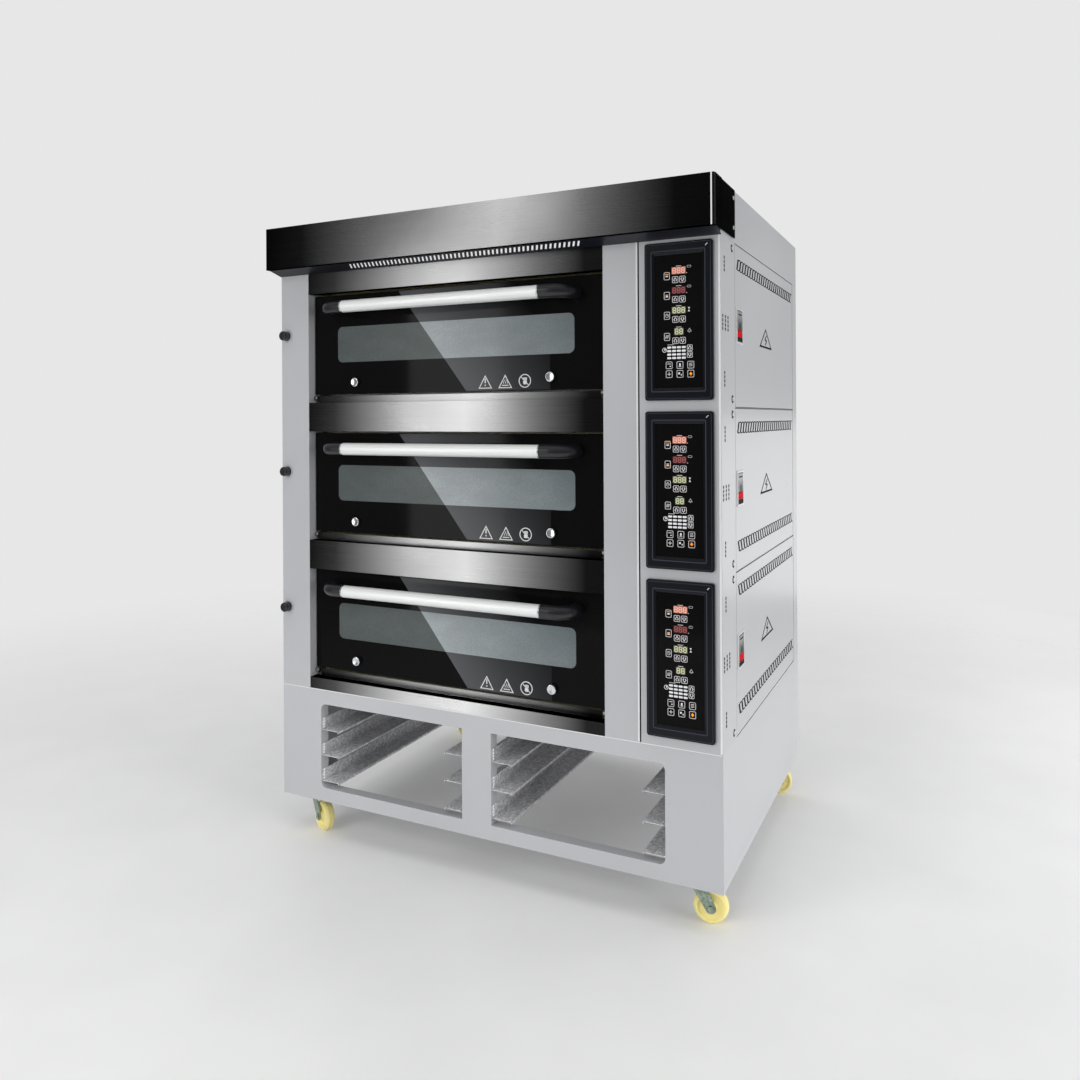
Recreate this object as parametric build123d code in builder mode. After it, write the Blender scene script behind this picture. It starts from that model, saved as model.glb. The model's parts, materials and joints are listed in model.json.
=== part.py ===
"""Electric bakery deck oven: three baking decks on a castered tray stand.

Origin: on the floor, under the centre of the oven's box. +X is the user's right,
the doors face -Y, and +Z is up. All dimensions are in millimetres.
"""

import os

from build123d import *

# ---------------------------------------------------------------- driving sizes
WIDTH = 1250
FRONT = -440
BACK = 460
HALF_WIDTH = WIDTH / 2
SHEET = 1.5

CASTER_H = 105
STAND_H = 306
BODY_Z = CASTER_H + STAND_H
BODY_H = 1144
BODY_TOP = BODY_Z + BODY_H
COVER_TOP = BODY_TOP + 120

# decks: the glass bottom of each, and what lies between them
DECKS = ("bottom", "middle", "top")
BASE_STRIP_H = 30
SILL_H = 23
DOOR_H = 272
DECK_PITCH = 378
FIRST_DOOR_Z = BODY_Z + BASE_STRIP_H + SILL_H
DOOR_TOP_GAP = 5

# front layout, from left to right
OPENING_X0 = -529
OPENING_X1 = 347
PILASTER_X1 = 433
COLUMN_X0 = 436
OPENING_X = (OPENING_X0 + OPENING_X1) / 2
JAMB_DEPTH = 60

# doors
GLASS_Y = FRONT + 24
GLASS_T = 5
GLASS_W = 870
HINGE_Y = GLASS_Y + 2
HINGE_DROP = 9
HINGE_R = 5
RUNNING_GAP = 0.05
PAN_W = 850
PAN_DEPTH = 28
WINDOW_W = 720
WINDOW_H = 107

# baking chambers
CHAMBER_W = 850
CHAMBER_Y0 = FRONT + 60
CHAMBER_Y1 = 332
CHAMBER_WALL = 2
FLOOR_RISE = 12
ROOF_RISE = 240
CHAMBER_X = (OPENING_X - CHAMBER_W / 2, OPENING_X + CHAMBER_W / 2)
CHAMBER_OUTER_X = (CHAMBER_X[0] - CHAMBER_WALL, CHAMBER_X[1] + CHAMBER_WALL)
FLUE_RISE = 190
FLUE_R = 25

# service doors in the right-hand side
SIDE_RETURN_Y = FRONT + 125
SERVICE_Y0 = SIDE_RETURN_Y + 2
SERVICE_Y1 = 395
SERVICE_DEPTH = 15
SERVICE_AXIS_X = HALF_WIDTH - 5
SERVICE_AXIS_Y = SERVICE_Y1 - 4
SERVICE_PIN_R = 2.5
REAR_RETURN_Y = SERVICE_AXIS_Y + 8.5
SHELF_T = 2
SHELF_Z = [BODY_Z + 1, BODY_Z + BODY_H / 3, BODY_Z + BODY_H * 2 / 3, BODY_TOP - 1]

os.makedirs("parts", exist_ok=True)


# ---------------------------------------------------------------- helpers
def save(piece, label):
    """Labels a finished piece and writes it as its own STEP file."""
    piece.part.label = label
    export_step(piece.part, f"parts/{label}.step")


def block(x_span, y_span, z_span, mode=Mode.ADD):
    """A box in the active part, from its low and high limits."""
    spans = (x_span, y_span, z_span)
    middle = tuple((low + high) / 2 for low, high in spans)
    sizes = tuple(high - low for low, high in spans)
    with Locations(middle):
        Box(*sizes, mode=mode)


def facing_front(y):
    """The plane at depth y that faces the user, drawn in X and Z."""
    return Plane.XZ.offset(-y)


def folded_sheet(plane, path, length, thickness=SHEET):
    """A folded sheet: its outer faces' path, thickened to the left and extruded."""
    with BuildSketch(plane) as section:
        with BuildLine():
            Polyline(*path)
            offset(amount=thickness, side=Side.LEFT, kind=Kind.INTERSECTION)
        make_face()
    extrude(section.sketch, amount=length)


def door_z(deck):
    """Height of the bottom edge of a deck's door glass."""
    return FIRST_DOOR_Z + deck * DECK_PITCH


# ---------------------------------------------------------------- stand
BAY_W = 450
BAY_OUTER_X = 492
BAY_X = BAY_OUTER_X - BAY_W / 2
BAY_Z0 = CASTER_H + 37
BAY_Z1 = BODY_Z - 40
BAY_H = BAY_Z1 - BAY_Z0
BAY_Z = (BAY_Z0 + BAY_Z1) / 2
BAY_RETURN = 30
BAY_CORNER_R = 16
TOP_FLANGE = 40
BASE_FLANGE = 110
BASE_FLANGE_T = 3
STAND_Z = CASTER_H + STAND_H / 2


def bay_face():
    """The outline of a stand face with its two tray bays."""
    with Locations((0, STAND_Z)):
        Rectangle(WIDTH, STAND_H)
    with Locations((-BAY_X, BAY_Z), (BAY_X, BAY_Z)):
        Rectangle(BAY_W, BAY_H, mode=Mode.SUBTRACT)


def bay_rims():
    """The outline of the returns around both bays."""
    with Locations((-BAY_X, BAY_Z), (BAY_X, BAY_Z)):
        Rectangle(BAY_W + 2 * SHEET, BAY_H + 2 * SHEET)
        Rectangle(BAY_W, BAY_H, mode=Mode.SUBTRACT)


def is_outer_bay_corner(edge):
    """True for the bays' four corner edges that lie towards the stand's sides."""
    centre = edge.center()
    at_side = abs(abs(centre.X) - BAY_OUTER_X) < 0.1
    return at_side and min(abs(centre.Z - BAY_Z0), abs(centre.Z - BAY_Z1)) < 0.1


FLANGE_X = HALF_WIDTH - TOP_FLANGE - 2
BASE_FLANGE_X = HALF_WIDTH - BASE_FLANGE - 1

with BuildPart() as stand_front_frame:
    with BuildSketch(facing_front(FRONT)):
        bay_face()
    extrude(amount=-SHEET)
    with BuildSketch(facing_front(FRONT)):
        bay_rims()
    extrude(amount=-BAY_RETURN)
    fillet(stand_front_frame.edges().filter_by(Axis.Y).filter_by(is_outer_bay_corner), BAY_CORNER_R)
    block((-FLANGE_X, FLANGE_X), (FRONT, FRONT + TOP_FLANGE), (BODY_Z - SHEET, BODY_Z))
    block((-BASE_FLANGE_X, BASE_FLANGE_X), (FRONT, FRONT + BAY_RETURN), (CASTER_H, CASTER_H + SHEET))
save(stand_front_frame, "stand_front_frame")

with BuildPart() as stand_rear_frame:
    with BuildSketch(facing_front(BACK)):
        bay_face()
    extrude(amount=SHEET)
    with BuildSketch(facing_front(BACK)):
        bay_rims()
    extrude(amount=BAY_RETURN)
    block((-FLANGE_X, FLANGE_X), (BACK - TOP_FLANGE, BACK), (BODY_Z - SHEET, BODY_Z))
    block((-BASE_FLANGE_X, BASE_FLANGE_X), (BACK - BAY_RETURN, BACK), (CASTER_H, CASTER_H + SHEET))
save(stand_rear_frame, "stand_rear_frame")

with BuildPart() as stand_side_panels:
    panel_y = (FRONT + SHEET, BACK - SHEET)
    block((HALF_WIDTH - SHEET, HALF_WIDTH), panel_y, (CASTER_H, BODY_Z))
    block((HALF_WIDTH - TOP_FLANGE, HALF_WIDTH), panel_y, (BODY_Z - SHEET, BODY_Z))
    base_z = (CASTER_H, CASTER_H + BASE_FLANGE_T)
    block((HALF_WIDTH - BASE_FLANGE, HALF_WIDTH), panel_y, base_z)
    mirror(about=Plane.YZ)
save(stand_side_panels, "stand_side_panels")

# tray runners: L-angles with a turned-down lip, three levels on both sides of a bay
RUNNER_LEVELS = (160, 230, 300)
RUNNER_FLANGE = 55
RUNNER_WEB = 30
RUNNER_LIP = 6
RUNNER_END_GAP = 4

with BuildPart() as tray_runners:
    for bay_centre in (-BAY_X, BAY_X):
        for side in (-1, 1):
            wall_x = bay_centre - side * BAY_W / 2
            for level in RUNNER_LEVELS:
                outline = [
                    (0, RUNNER_WEB),
                    (0, -SHEET),
                    (RUNNER_FLANGE - SHEET, -SHEET),
                    (RUNNER_FLANGE - SHEET, -RUNNER_LIP),
                    (RUNNER_FLANGE, -RUNNER_LIP),
                    (RUNNER_FLANGE, 0),
                    (SHEET, 0),
                    (SHEET, RUNNER_WEB),
                ]
                with BuildSketch(facing_front(FRONT + RUNNER_END_GAP)):
                    with BuildLine():
                        Polyline(*((wall_x + side * x, level + z) for x, z in outline), close=True)
                    make_face()
                extrude(amount=-(BACK - FRONT - 2 * RUNNER_END_GAP))
save(tray_runners, "tray_runners")

# ---------------------------------------------------------------- casters
CASTER_X = HALF_WIDTH - 75
CASTER_FRONT_Y = FRONT + 65
CASTER_REAR_Y = BACK - 65
# each caster's corner and the way its wheel trails at rest, in degrees from +X
CASTERS = {
    "front_left": (-CASTER_X, CASTER_FRONT_Y, -26),
    "front_right": (CASTER_X, CASTER_FRONT_Y, 12),
    "rear_left": (-CASTER_X, CASTER_REAR_Y, -8),
    "rear_right": (CASTER_X, CASTER_REAR_Y, 20),
}
WHEEL_R = 40
WHEEL_W = 28
HUB_W = 32
AXLE_R = 4
TRAIL = 28
PLATE_X = 64
PLATE_Y = 95
PLATE_T = 3
RACE_R = 23
RACE_Z = 92
CROWN_T = 3.5
CROWN_Z = RACE_Z - 0.5 - CROWN_T
KINGPIN_R = 5
KINGPIN_HEAD_R = 9
KINGPIN_HEAD_T = 4
KINGPIN_TIP_Z = CROWN_Z - 0.5 - KINGPIN_HEAD_T
HEX_R = 7.5
BOLT_HEAD_T = 5
BOLT_INSET = 9
FORK_INNER = 17
FORK_LEG_T = 3
FORK_CROWN_L = 46
LEG_ROOT_X = 15
LEG_ROOT_R = 1.7
LEG_TIP_R = 12
AXLE_NUT_T = 4

with BuildPart() as caster_plates:
    for x, y, _ in CASTERS.values():
        with Locations((x, y, CASTER_H - PLATE_T / 2)):
            Box(PLATE_X, PLATE_Y, PLATE_T)
        with BuildSketch(Plane.XY.offset(RACE_Z)):
            with Locations((x, y)):
                Circle(RACE_R)
        extrude(amount=CASTER_H - PLATE_T - RACE_Z)
        with BuildSketch(Plane.XY.offset(KINGPIN_TIP_Z)):
            with Locations((x, y)):
                Circle(KINGPIN_R)
        extrude(amount=RACE_Z - KINGPIN_TIP_Z)
        with BuildSketch(Plane.XY.offset(KINGPIN_TIP_Z)):
            with Locations((x, y)):
                Circle(KINGPIN_HEAD_R)
        extrude(amount=KINGPIN_HEAD_T)
        with BuildSketch(Plane.XY.offset(CASTER_H - PLATE_T - BOLT_HEAD_T)):
            with Locations((x, y)):
                with GridLocations(PLATE_X - 2 * BOLT_INSET, PLATE_Y - 2 * BOLT_INSET, 2, 2):
                    RegularPolygon(HEX_R, 6)
        extrude(amount=BOLT_HEAD_T)
save(caster_plates, "caster_plates")

with BuildPart() as caster_fork:
    with BuildSketch(Plane.XY.offset(CROWN_Z)):
        RectangleRounded(FORK_CROWN_L, 2 * (FORK_INNER + FORK_LEG_T), 8)
        Circle(KINGPIN_R + RUNNING_GAP, mode=Mode.SUBTRACT)
    extrude(amount=CROWN_T)
    for leg_y in (FORK_INNER, -FORK_INNER - FORK_LEG_T):
        with BuildSketch(facing_front(leg_y)) as leg:
            with Locations(*((x, CROWN_Z + LEG_ROOT_R) for x in (-LEG_ROOT_X, LEG_ROOT_X))):
                Circle(LEG_ROOT_R)
            with Locations((TRAIL, WHEEL_R)):
                Circle(LEG_TIP_R)
            make_hull()
            with Locations((TRAIL, WHEEL_R)):
                Circle(AXLE_R + 0.2, mode=Mode.SUBTRACT)
        extrude(amount=-FORK_LEG_T)

with BuildPart() as caster_axle:
    fork_half = FORK_INNER + FORK_LEG_T
    with BuildSketch(facing_front(-fork_half)):
        with Locations((TRAIL, WHEEL_R)):
            Circle(AXLE_R)
    extrude(amount=-2 * fork_half)
    for head_y in (-fork_half, fork_half + AXLE_NUT_T):
        with BuildSketch(facing_front(head_y)):
            with Locations((TRAIL, WHEEL_R)):
                RegularPolygon(HEX_R, 6)
        extrude(amount=AXLE_NUT_T)

with BuildPart() as caster_wheel:
    tread = WHEEL_W / 2
    with BuildSketch(Plane.YZ):
        with BuildLine():
            Polyline(
                (HUB_W / 2, AXLE_R + RUNNING_GAP),
                (HUB_W / 2, 11),
                (9, 14),
                (9, WHEEL_R - 13),
                (tread, WHEEL_R - 9),
                (tread, WHEEL_R - 6),
            )
            TangentArc((1.5, WHEEL_R), (tread, WHEEL_R - 6), tangent=(1, 0))
            Polyline((1.5, WHEEL_R), (1.5, WHEEL_R - 2), (0, WHEEL_R - 2), (0, AXLE_R + RUNNING_GAP))
            Line((0, AXLE_R + RUNNING_GAP), (HUB_W / 2, AXLE_R + RUNNING_GAP))
        make_face()
    revolve(axis=Axis.Y)
    mirror(about=Plane.XZ)

for corner, (x, y, swivel) in CASTERS.items():
    corner_place = Location((x, y, 0), (0, 0, swivel))
    fork_piece = Compound(
        label=f"caster_fork_{corner}",
        children=[corner_place * caster_fork.part, corner_place * caster_axle.part],
    )
    export_step(fork_piece, f"parts/caster_fork_{corner}.step")
    wheel_piece = corner_place * Location((TRAIL, 0, WHEEL_R)) * caster_wheel.part
    wheel_piece.label = f"caster_wheel_{corner}"
    export_step(wheel_piece, f"parts/caster_wheel_{corner}.step")

# ---------------------------------------------------------------- oven shell
HINGE_BOSS_R = 11
HINGE_BOSS_T = 8
DAMPER_X = -605.6
DAMPER_ROD_R = 4
DAMPER_RISE = 165
DAMPER_BUSH_R = 8
DAMPER_BUSH_L = 12
DAMPER_RING_R = 17


def hinge_bearings(face_x, inward):
    """Three bearing bosses behind a jamb, bored for the doors' hinge pins."""
    centres = [(HINGE_Y, door_z(deck) - HINGE_DROP) for deck in range(3)]
    with BuildSketch(Plane.YZ.offset(face_x)) as bosses:
        with Locations(*centres):
            Circle(HINGE_BOSS_R)
    extrude(bosses.sketch, amount=inward * HINGE_BOSS_T)
    with BuildSketch(Plane.YZ.offset(face_x)) as bores:
        with Locations(*centres):
            Circle(HINGE_R + RUNNING_GAP)
    extrude(bores.sketch, amount=inward * HINGE_BOSS_T, mode=Mode.SUBTRACT)


with BuildPart() as left_column:
    folded_sheet(
        Plane.XY.offset(BODY_Z),
        [
            (-HALF_WIDTH, FRONT + JAMB_DEPTH),
            (-HALF_WIDTH, FRONT),
            (OPENING_X0, FRONT),
            (OPENING_X0, FRONT + JAMB_DEPTH),
        ],
        BODY_H,
    )
    hinge_bearings(OPENING_X0, -1)
    damper_centres = [(DAMPER_X, door_z(deck) + DAMPER_RISE) for deck in range(3)]
    with BuildSketch(facing_front(FRONT)):
        with Locations(*damper_centres):
            Circle(DAMPER_BUSH_R)
    extrude(amount=-DAMPER_BUSH_L)
    with BuildSketch(facing_front(FRONT)):
        with Locations(*damper_centres):
            Circle(DAMPER_RING_R)
            Circle(DAMPER_RING_R - 3, mode=Mode.SUBTRACT)
    extrude(amount=2.5)
    with BuildSketch(facing_front(FRONT)):
        with Locations(*damper_centres):
            Circle(DAMPER_ROD_R + RUNNING_GAP)
    extrude(amount=-DAMPER_BUSH_L, mode=Mode.SUBTRACT)
save(left_column, "left_column")

with BuildPart() as right_pilaster:
    folded_sheet(
        Plane.XY.offset(BODY_Z),
        [
            (OPENING_X1, FRONT + JAMB_DEPTH),
            (OPENING_X1, FRONT),
            (PILASTER_X1, FRONT),
            (PILASTER_X1, BACK - 4),
        ],
        BODY_H,
    )
    hinge_bearings(OPENING_X1, 1)
save(right_pilaster, "right_pilaster")

# control column: three cut-outs for the control units, and dot vents in its side
BEZEL_X = 530.5
BEZEL_W = 157
BEZEL_H = 354
BEZEL_Z = [610, 988.5, 1367]
CUTOUT_MARGIN = 8
VENT_R = 2
VENT_PITCH_Z = 9.3
VENT_Y = FRONT + 31
VENT_GROUP_Y = FRONT + 39
VENT_GROUP_PITCH_Y = 23
# heights of the vents about each control unit's centre: two single rows and a group
VENT_ROW_RISES = (126, -130)
VENT_GROUP_RISE = -5

with BuildPart() as control_column:
    folded_sheet(
        Plane.XY.offset(BODY_Z),
        [
            (COLUMN_X0, FRONT + TOP_FLANGE),
            (COLUMN_X0, FRONT),
            (HALF_WIDTH, FRONT),
            (HALF_WIDTH, SIDE_RETURN_Y),
        ],
        BODY_H,
    )
    with BuildSketch(facing_front(FRONT)):
        with Locations(*((BEZEL_X, z) for z in BEZEL_Z)):
            RectangleRounded(BEZEL_W - 2 * CUTOUT_MARGIN, BEZEL_H - 2 * CUTOUT_MARGIN, 4)
    extrude(amount=-SHEET, mode=Mode.SUBTRACT)
    with BuildSketch(Plane.YZ.offset(HALF_WIDTH)):
        for unit_z in BEZEL_Z:
            with Locations(*((VENT_Y, unit_z + rise) for rise in VENT_ROW_RISES)):
                with GridLocations(1, VENT_PITCH_Z, 1, 4):
                    Circle(VENT_R)
            with Locations((VENT_GROUP_Y, unit_z + VENT_GROUP_RISE)):
                with GridLocations(VENT_GROUP_PITCH_Y, VENT_PITCH_Z, 3, 4):
                    Circle(VENT_R)
    extrude(amount=-SHEET, mode=Mode.SUBTRACT)
save(control_column, "control_column")

with BuildPart() as left_side_panel:
    side_y = (FRONT + JAMB_DEPTH + SHEET, REAR_RETURN_Y - SHEET)
    block((-HALF_WIDTH, -HALF_WIDTH + SHEET), side_y, (BODY_Z, BODY_TOP))
save(left_side_panel, "left_side_panel")

GLAND_X = 560
GLAND_Z = BODY_Z + 60
GLAND_BODY_R = 10
GLAND_BORE_R = 7
GLAND_NUT_R = 16
GLAND_NUT_T = 8
GLAND_CAP_R = 13.5
GLAND_CAP_L = 18
GLAND_TAIL = 14

with BuildPart() as rear_panel:
    folded_sheet(
        Plane.XY.offset(BODY_Z),
        [
            (HALF_WIDTH, REAR_RETURN_Y),
            (HALF_WIDTH, BACK),
            (-HALF_WIDTH, BACK),
            (-HALF_WIDTH, REAR_RETURN_Y),
        ],
        BODY_H,
    )
    with BuildSketch(facing_front(BACK)):
        with Locations(*((OPENING_X, door_z(deck) + FLUE_RISE) for deck in range(3))):
            Circle(FLUE_R + 0.5)
        with Locations((GLAND_X, GLAND_Z)):
            Circle(GLAND_BODY_R + 0.5)
    extrude(amount=SHEET, mode=Mode.SUBTRACT)
save(rear_panel, "rear_panel")

FLUE_END_Y = 500
FLUE_WALL = 1.5
FLUE_FLANGE_R = 38
FLUE_FLANGE_T = 2

with BuildPart() as flue_spigots:
    flue_centres = [(OPENING_X, door_z(deck) + FLUE_RISE) for deck in range(3)]
    chamber_back_y = CHAMBER_Y1 + CHAMBER_WALL
    with BuildSketch(facing_front(chamber_back_y)):
        with Locations(*flue_centres):
            Circle(FLUE_R)
            Circle(FLUE_R - FLUE_WALL, mode=Mode.SUBTRACT)
    extrude(amount=-(FLUE_END_Y - chamber_back_y))
    with BuildSketch(facing_front(BACK)):
        with Locations(*flue_centres):
            Circle(FLUE_FLANGE_R)
            Circle(FLUE_R - FLUE_WALL, mode=Mode.SUBTRACT)
    extrude(amount=-FLUE_FLANGE_T)
save(flue_spigots, "flue_spigots")

with BuildPart() as cable_gland:
    gland_length = GLAND_TAIL + GLAND_NUT_T + GLAND_CAP_L
    with BuildSketch(facing_front(BACK - GLAND_TAIL)):
        with Locations((GLAND_X, GLAND_Z)):
            Circle(GLAND_BODY_R)
    extrude(amount=-gland_length)
    with BuildSketch(facing_front(BACK)):
        with Locations((GLAND_X, GLAND_Z)):
            RegularPolygon(GLAND_NUT_R, 6)
    extrude(amount=-GLAND_NUT_T)
    with BuildSketch(facing_front(BACK + GLAND_NUT_T)):
        with Locations((GLAND_X, GLAND_Z)):
            Circle(GLAND_CAP_R)
    extrude(amount=-GLAND_CAP_L)
    fillet(cable_gland.edges().filter_by(GeomType.CIRCLE).sort_by(Axis.Y)[-1], 3)
    with BuildSketch(facing_front(BACK - GLAND_TAIL)):
        with Locations((GLAND_X, GLAND_Z)):
            Circle(GLAND_BORE_R)
    extrude(amount=-gland_length, mode=Mode.SUBTRACT)
save(cable_gland, "cable_gland")

# deck shelves: one plate on each side of the compartment wall at four levels,
# with the service doors' hinge pins standing on the right-hand plates
SHELF_CLEAR = 0.3
SHELF_BACK_Y = BACK - 4
PIN_REACH = 9

with BuildPart() as deck_shelves:
    for index, level in enumerate(SHELF_Z):
        plate_z = (level - SHELF_T / 2, level + SHELF_T / 2)
        block(
            (-HALF_WIDTH + SHEET + SHELF_CLEAR, PILASTER_X1 - SHEET - SHELF_CLEAR),
            (FRONT + JAMB_DEPTH + 2, SHELF_BACK_Y),
            plate_z,
        )
        block(
            (COLUMN_X0 + SHEET + 0.5, HALF_WIDTH - SHEET - SHELF_CLEAR),
            (FRONT + 2 * SHEET, SHELF_BACK_Y),
            plate_z,
        )
        pin_low = level - (PIN_REACH if index > 0 else 0)
        pin_high = level + (PIN_REACH if index < 3 else 0)
        with BuildSketch(Plane.XY.offset(pin_low)):
            with Locations((SERVICE_AXIS_X, SERVICE_AXIS_Y)):
                Circle(SERVICE_PIN_R)
        extrude(amount=pin_high - pin_low)
save(deck_shelves, "deck_shelves")

with BuildPart() as top_cover:
    block((-HALF_WIDTH, HALF_WIDTH), (FRONT, BACK), (BODY_TOP, COVER_TOP))
    block(
        (-HALF_WIDTH + SHEET, HALF_WIDTH - SHEET),
        (FRONT + SHEET, BACK - SHEET),
        (BODY_TOP, COVER_TOP - SHEET),
        mode=Mode.SUBTRACT,
    )
save(top_cover, "top_cover")

# canopy: a wrap-around hood with a lip, and a slotted strip that slopes back under it
CANOPY_Z = BODY_TOP + 8
CANOPY_H = COVER_TOP - CANOPY_Z
CANOPY_Y = FRONT - 60
CANOPY_HALF = HALF_WIDTH + 4
CANOPY_REAR_Y = FRONT + 115
CANOPY_CORNER_R = 7
LIP_DEPTH = 16
SLOT_COUNT = 56
SLOT_PITCH = 12
SLOT_X = -34.5
SLOT_LEAN = 10
SLOT_W = 5
SLOT_INSET = 7
GRILLE_DROP = 11

with BuildPart() as canopy:
    middle_y = (CANOPY_Y + CANOPY_REAR_Y) / 2
    depth = CANOPY_REAR_Y - CANOPY_Y
    with BuildSketch(Plane.XY.offset(CANOPY_Z)):
        with Locations((0, middle_y)):
            Rectangle(2 * CANOPY_HALF, depth)
    extrude(amount=CANOPY_H)
    front_corners = canopy.edges().filter_by(Axis.Z).sort_by(Axis.Y)[:2]
    fillet(front_corners, CANOPY_CORNER_R)
    with BuildSketch(Plane.XY.offset(CANOPY_Z)):
        with Locations((0, middle_y + SHEET)):
            Rectangle(2 * (CANOPY_HALF - SHEET), depth)
    extrude(amount=CANOPY_H - SHEET, mode=Mode.SUBTRACT)
    over_cover_y = (FRONT - 0.3, CANOPY_REAR_Y)
    block((-CANOPY_HALF, CANOPY_HALF), over_cover_y, (COVER_TOP - SHEET, COVER_TOP), mode=Mode.SUBTRACT)
    block(
        (-CANOPY_HALF + SHEET, CANOPY_HALF - SHEET),
        (CANOPY_Y + SHEET, CANOPY_Y + LIP_DEPTH),
        (CANOPY_Z, CANOPY_Z + SHEET),
    )
save(canopy, "canopy")

with BuildPart() as canopy_grille:
    strip_front = CANOPY_Y + LIP_DEPTH + 0.5
    strip_back = FRONT - 0.5
    strip_half = CANOPY_HALF - SHEET - 0.5
    with BuildSketch(Plane.YZ.offset(-strip_half)):
        with BuildLine():
            Polyline(
                (strip_front, CANOPY_Z),
                (strip_back, CANOPY_Z - GRILLE_DROP),
                (strip_back, CANOPY_Z - GRILLE_DROP + SHEET),
                (strip_front, CANOPY_Z + SHEET),
                close=True,
            )
        make_face()
    extrude(amount=2 * strip_half)
    slot_y0 = strip_front + SLOT_INSET
    slot_y1 = strip_back - SLOT_INSET
    with BuildSketch(Plane.XY.offset(CANOPY_Z - GRILLE_DROP)):
        for index in range(SLOT_COUNT):
            x = SLOT_X + (index - (SLOT_COUNT - 1) / 2) * SLOT_PITCH
            with BuildLine():
                Polyline(
                    (x + SLOT_LEAN - SLOT_W, slot_y0),
                    (x + SLOT_LEAN, slot_y0),
                    (x - SLOT_LEAN + SLOT_W, slot_y1),
                    (x - SLOT_LEAN, slot_y1),
                    close=True,
                )
            make_face()
    extrude(amount=GRILLE_DROP + SHEET, mode=Mode.SUBTRACT)
save(canopy_grille, "canopy_grille")

# front fascias: the base strip and the three strips over the doors
FASCIA_DEPTH = 28
SILL_RISER_Y = GLASS_Y + 4

with BuildPart() as front_fascias:
    fascia_x = (OPENING_X0 + 0.3, OPENING_X1 - 0.3)
    for index in range(4):
        top_z = BODY_TOP if index == 3 else door_z(index) - SILL_H
        low_z = BODY_Z if index == 0 else door_z(index - 1) + DOOR_H + DOOR_TOP_GAP
        block(fascia_x, (FRONT, FRONT + SHEET), (low_z, top_z))
        block(fascia_x, (FRONT, FRONT + FASCIA_DEPTH), (top_z - SHEET, top_z))
        if index > 0:
            block(fascia_x, (FRONT, FRONT + FASCIA_DEPTH), (low_z, low_z + SHEET))
        if index < 3:
            riser_x = (OPENING_X - PAN_W / 2 + 4, OPENING_X + PAN_W / 2 - 4)
            riser_y = (SILL_RISER_Y - SHEET, SILL_RISER_Y)
            block(riser_x, riser_y, (top_z - SHEET, door_z(index) - 4))
save(front_fascias, "front_fascias")

# panel screws: pan heads with a cross recess, all of one size
SCREW_R = 4.5
SCREW_H = 1.6
CROSS_L = 5
CROSS_W = 1.1
REAR_SCREW_X = (-600, -40, 600)
CANOPY_SCREW_Z = [CANOPY_Z + 22, COVER_TOP - 22]
COLUMN_SCREW_Z = [429, 780, 816, 1158, 1193, 1538]


def screw_heads(plane, centres):
    """Screw heads standing on a plane, each with a cross cut into its upper half."""
    with BuildSketch(plane) as bases:
        with Locations(*centres):
            Circle(SCREW_R)
    extrude(bases.sketch, amount=SCREW_H / 2)
    with BuildSketch(plane.offset(SCREW_H / 2)) as crowns:
        with Locations(*centres):
            Circle(SCREW_R - 0.3)
            Rectangle(CROSS_L, CROSS_W, mode=Mode.SUBTRACT)
            Rectangle(CROSS_W, CROSS_L, mode=Mode.SUBTRACT)
    extrude(crowns.sketch, amount=SCREW_H / 2)


with BuildPart() as panel_screws:
    side_screws = [(FRONT + 100, z) for z in COLUMN_SCREW_Z]
    hood_screws = [(CANOPY_REAR_Y - 15, z) for z in CANOPY_SCREW_Z]
    panel_screw_y = (FRONT + JAMB_DEPTH + 20, SERVICE_Y1 - 20)
    left_screws = [(-y, z) for y in panel_screw_y for z in COLUMN_SCREW_Z]
    rear_screws = [(x, z) for x in REAR_SCREW_X for z in COLUMN_SCREW_Z]
    screw_heads(Plane.YZ.offset(HALF_WIDTH), side_screws)
    screw_heads(Plane.YZ.offset(CANOPY_HALF), hood_screws)
    left_plane = Plane(origin=(0, 0, 0), x_dir=(0, -1, 0), z_dir=(-1, 0, 0))
    screw_heads(left_plane.offset(HALF_WIDTH), left_screws)
    screw_heads(left_plane.offset(CANOPY_HALF), [(-y, z) for y, z in hood_screws])
    rear_plane = Plane(origin=(0, 0, 0), x_dir=(-1, 0, 0), z_dir=(0, 1, 0))
    screw_heads(rear_plane.offset(BACK), rear_screws)
save(panel_screws, "panel_screws")

# ---------------------------------------------------------------- inside the oven
FLANGE_RIM = 9
LEDGE_W = 10
HEARTH_T = 12
HEARTH_RISE = FLOOR_RISE + 18
PAN_X = (OPENING_X - PAN_W / 2, OPENING_X + PAN_W / 2)

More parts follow.
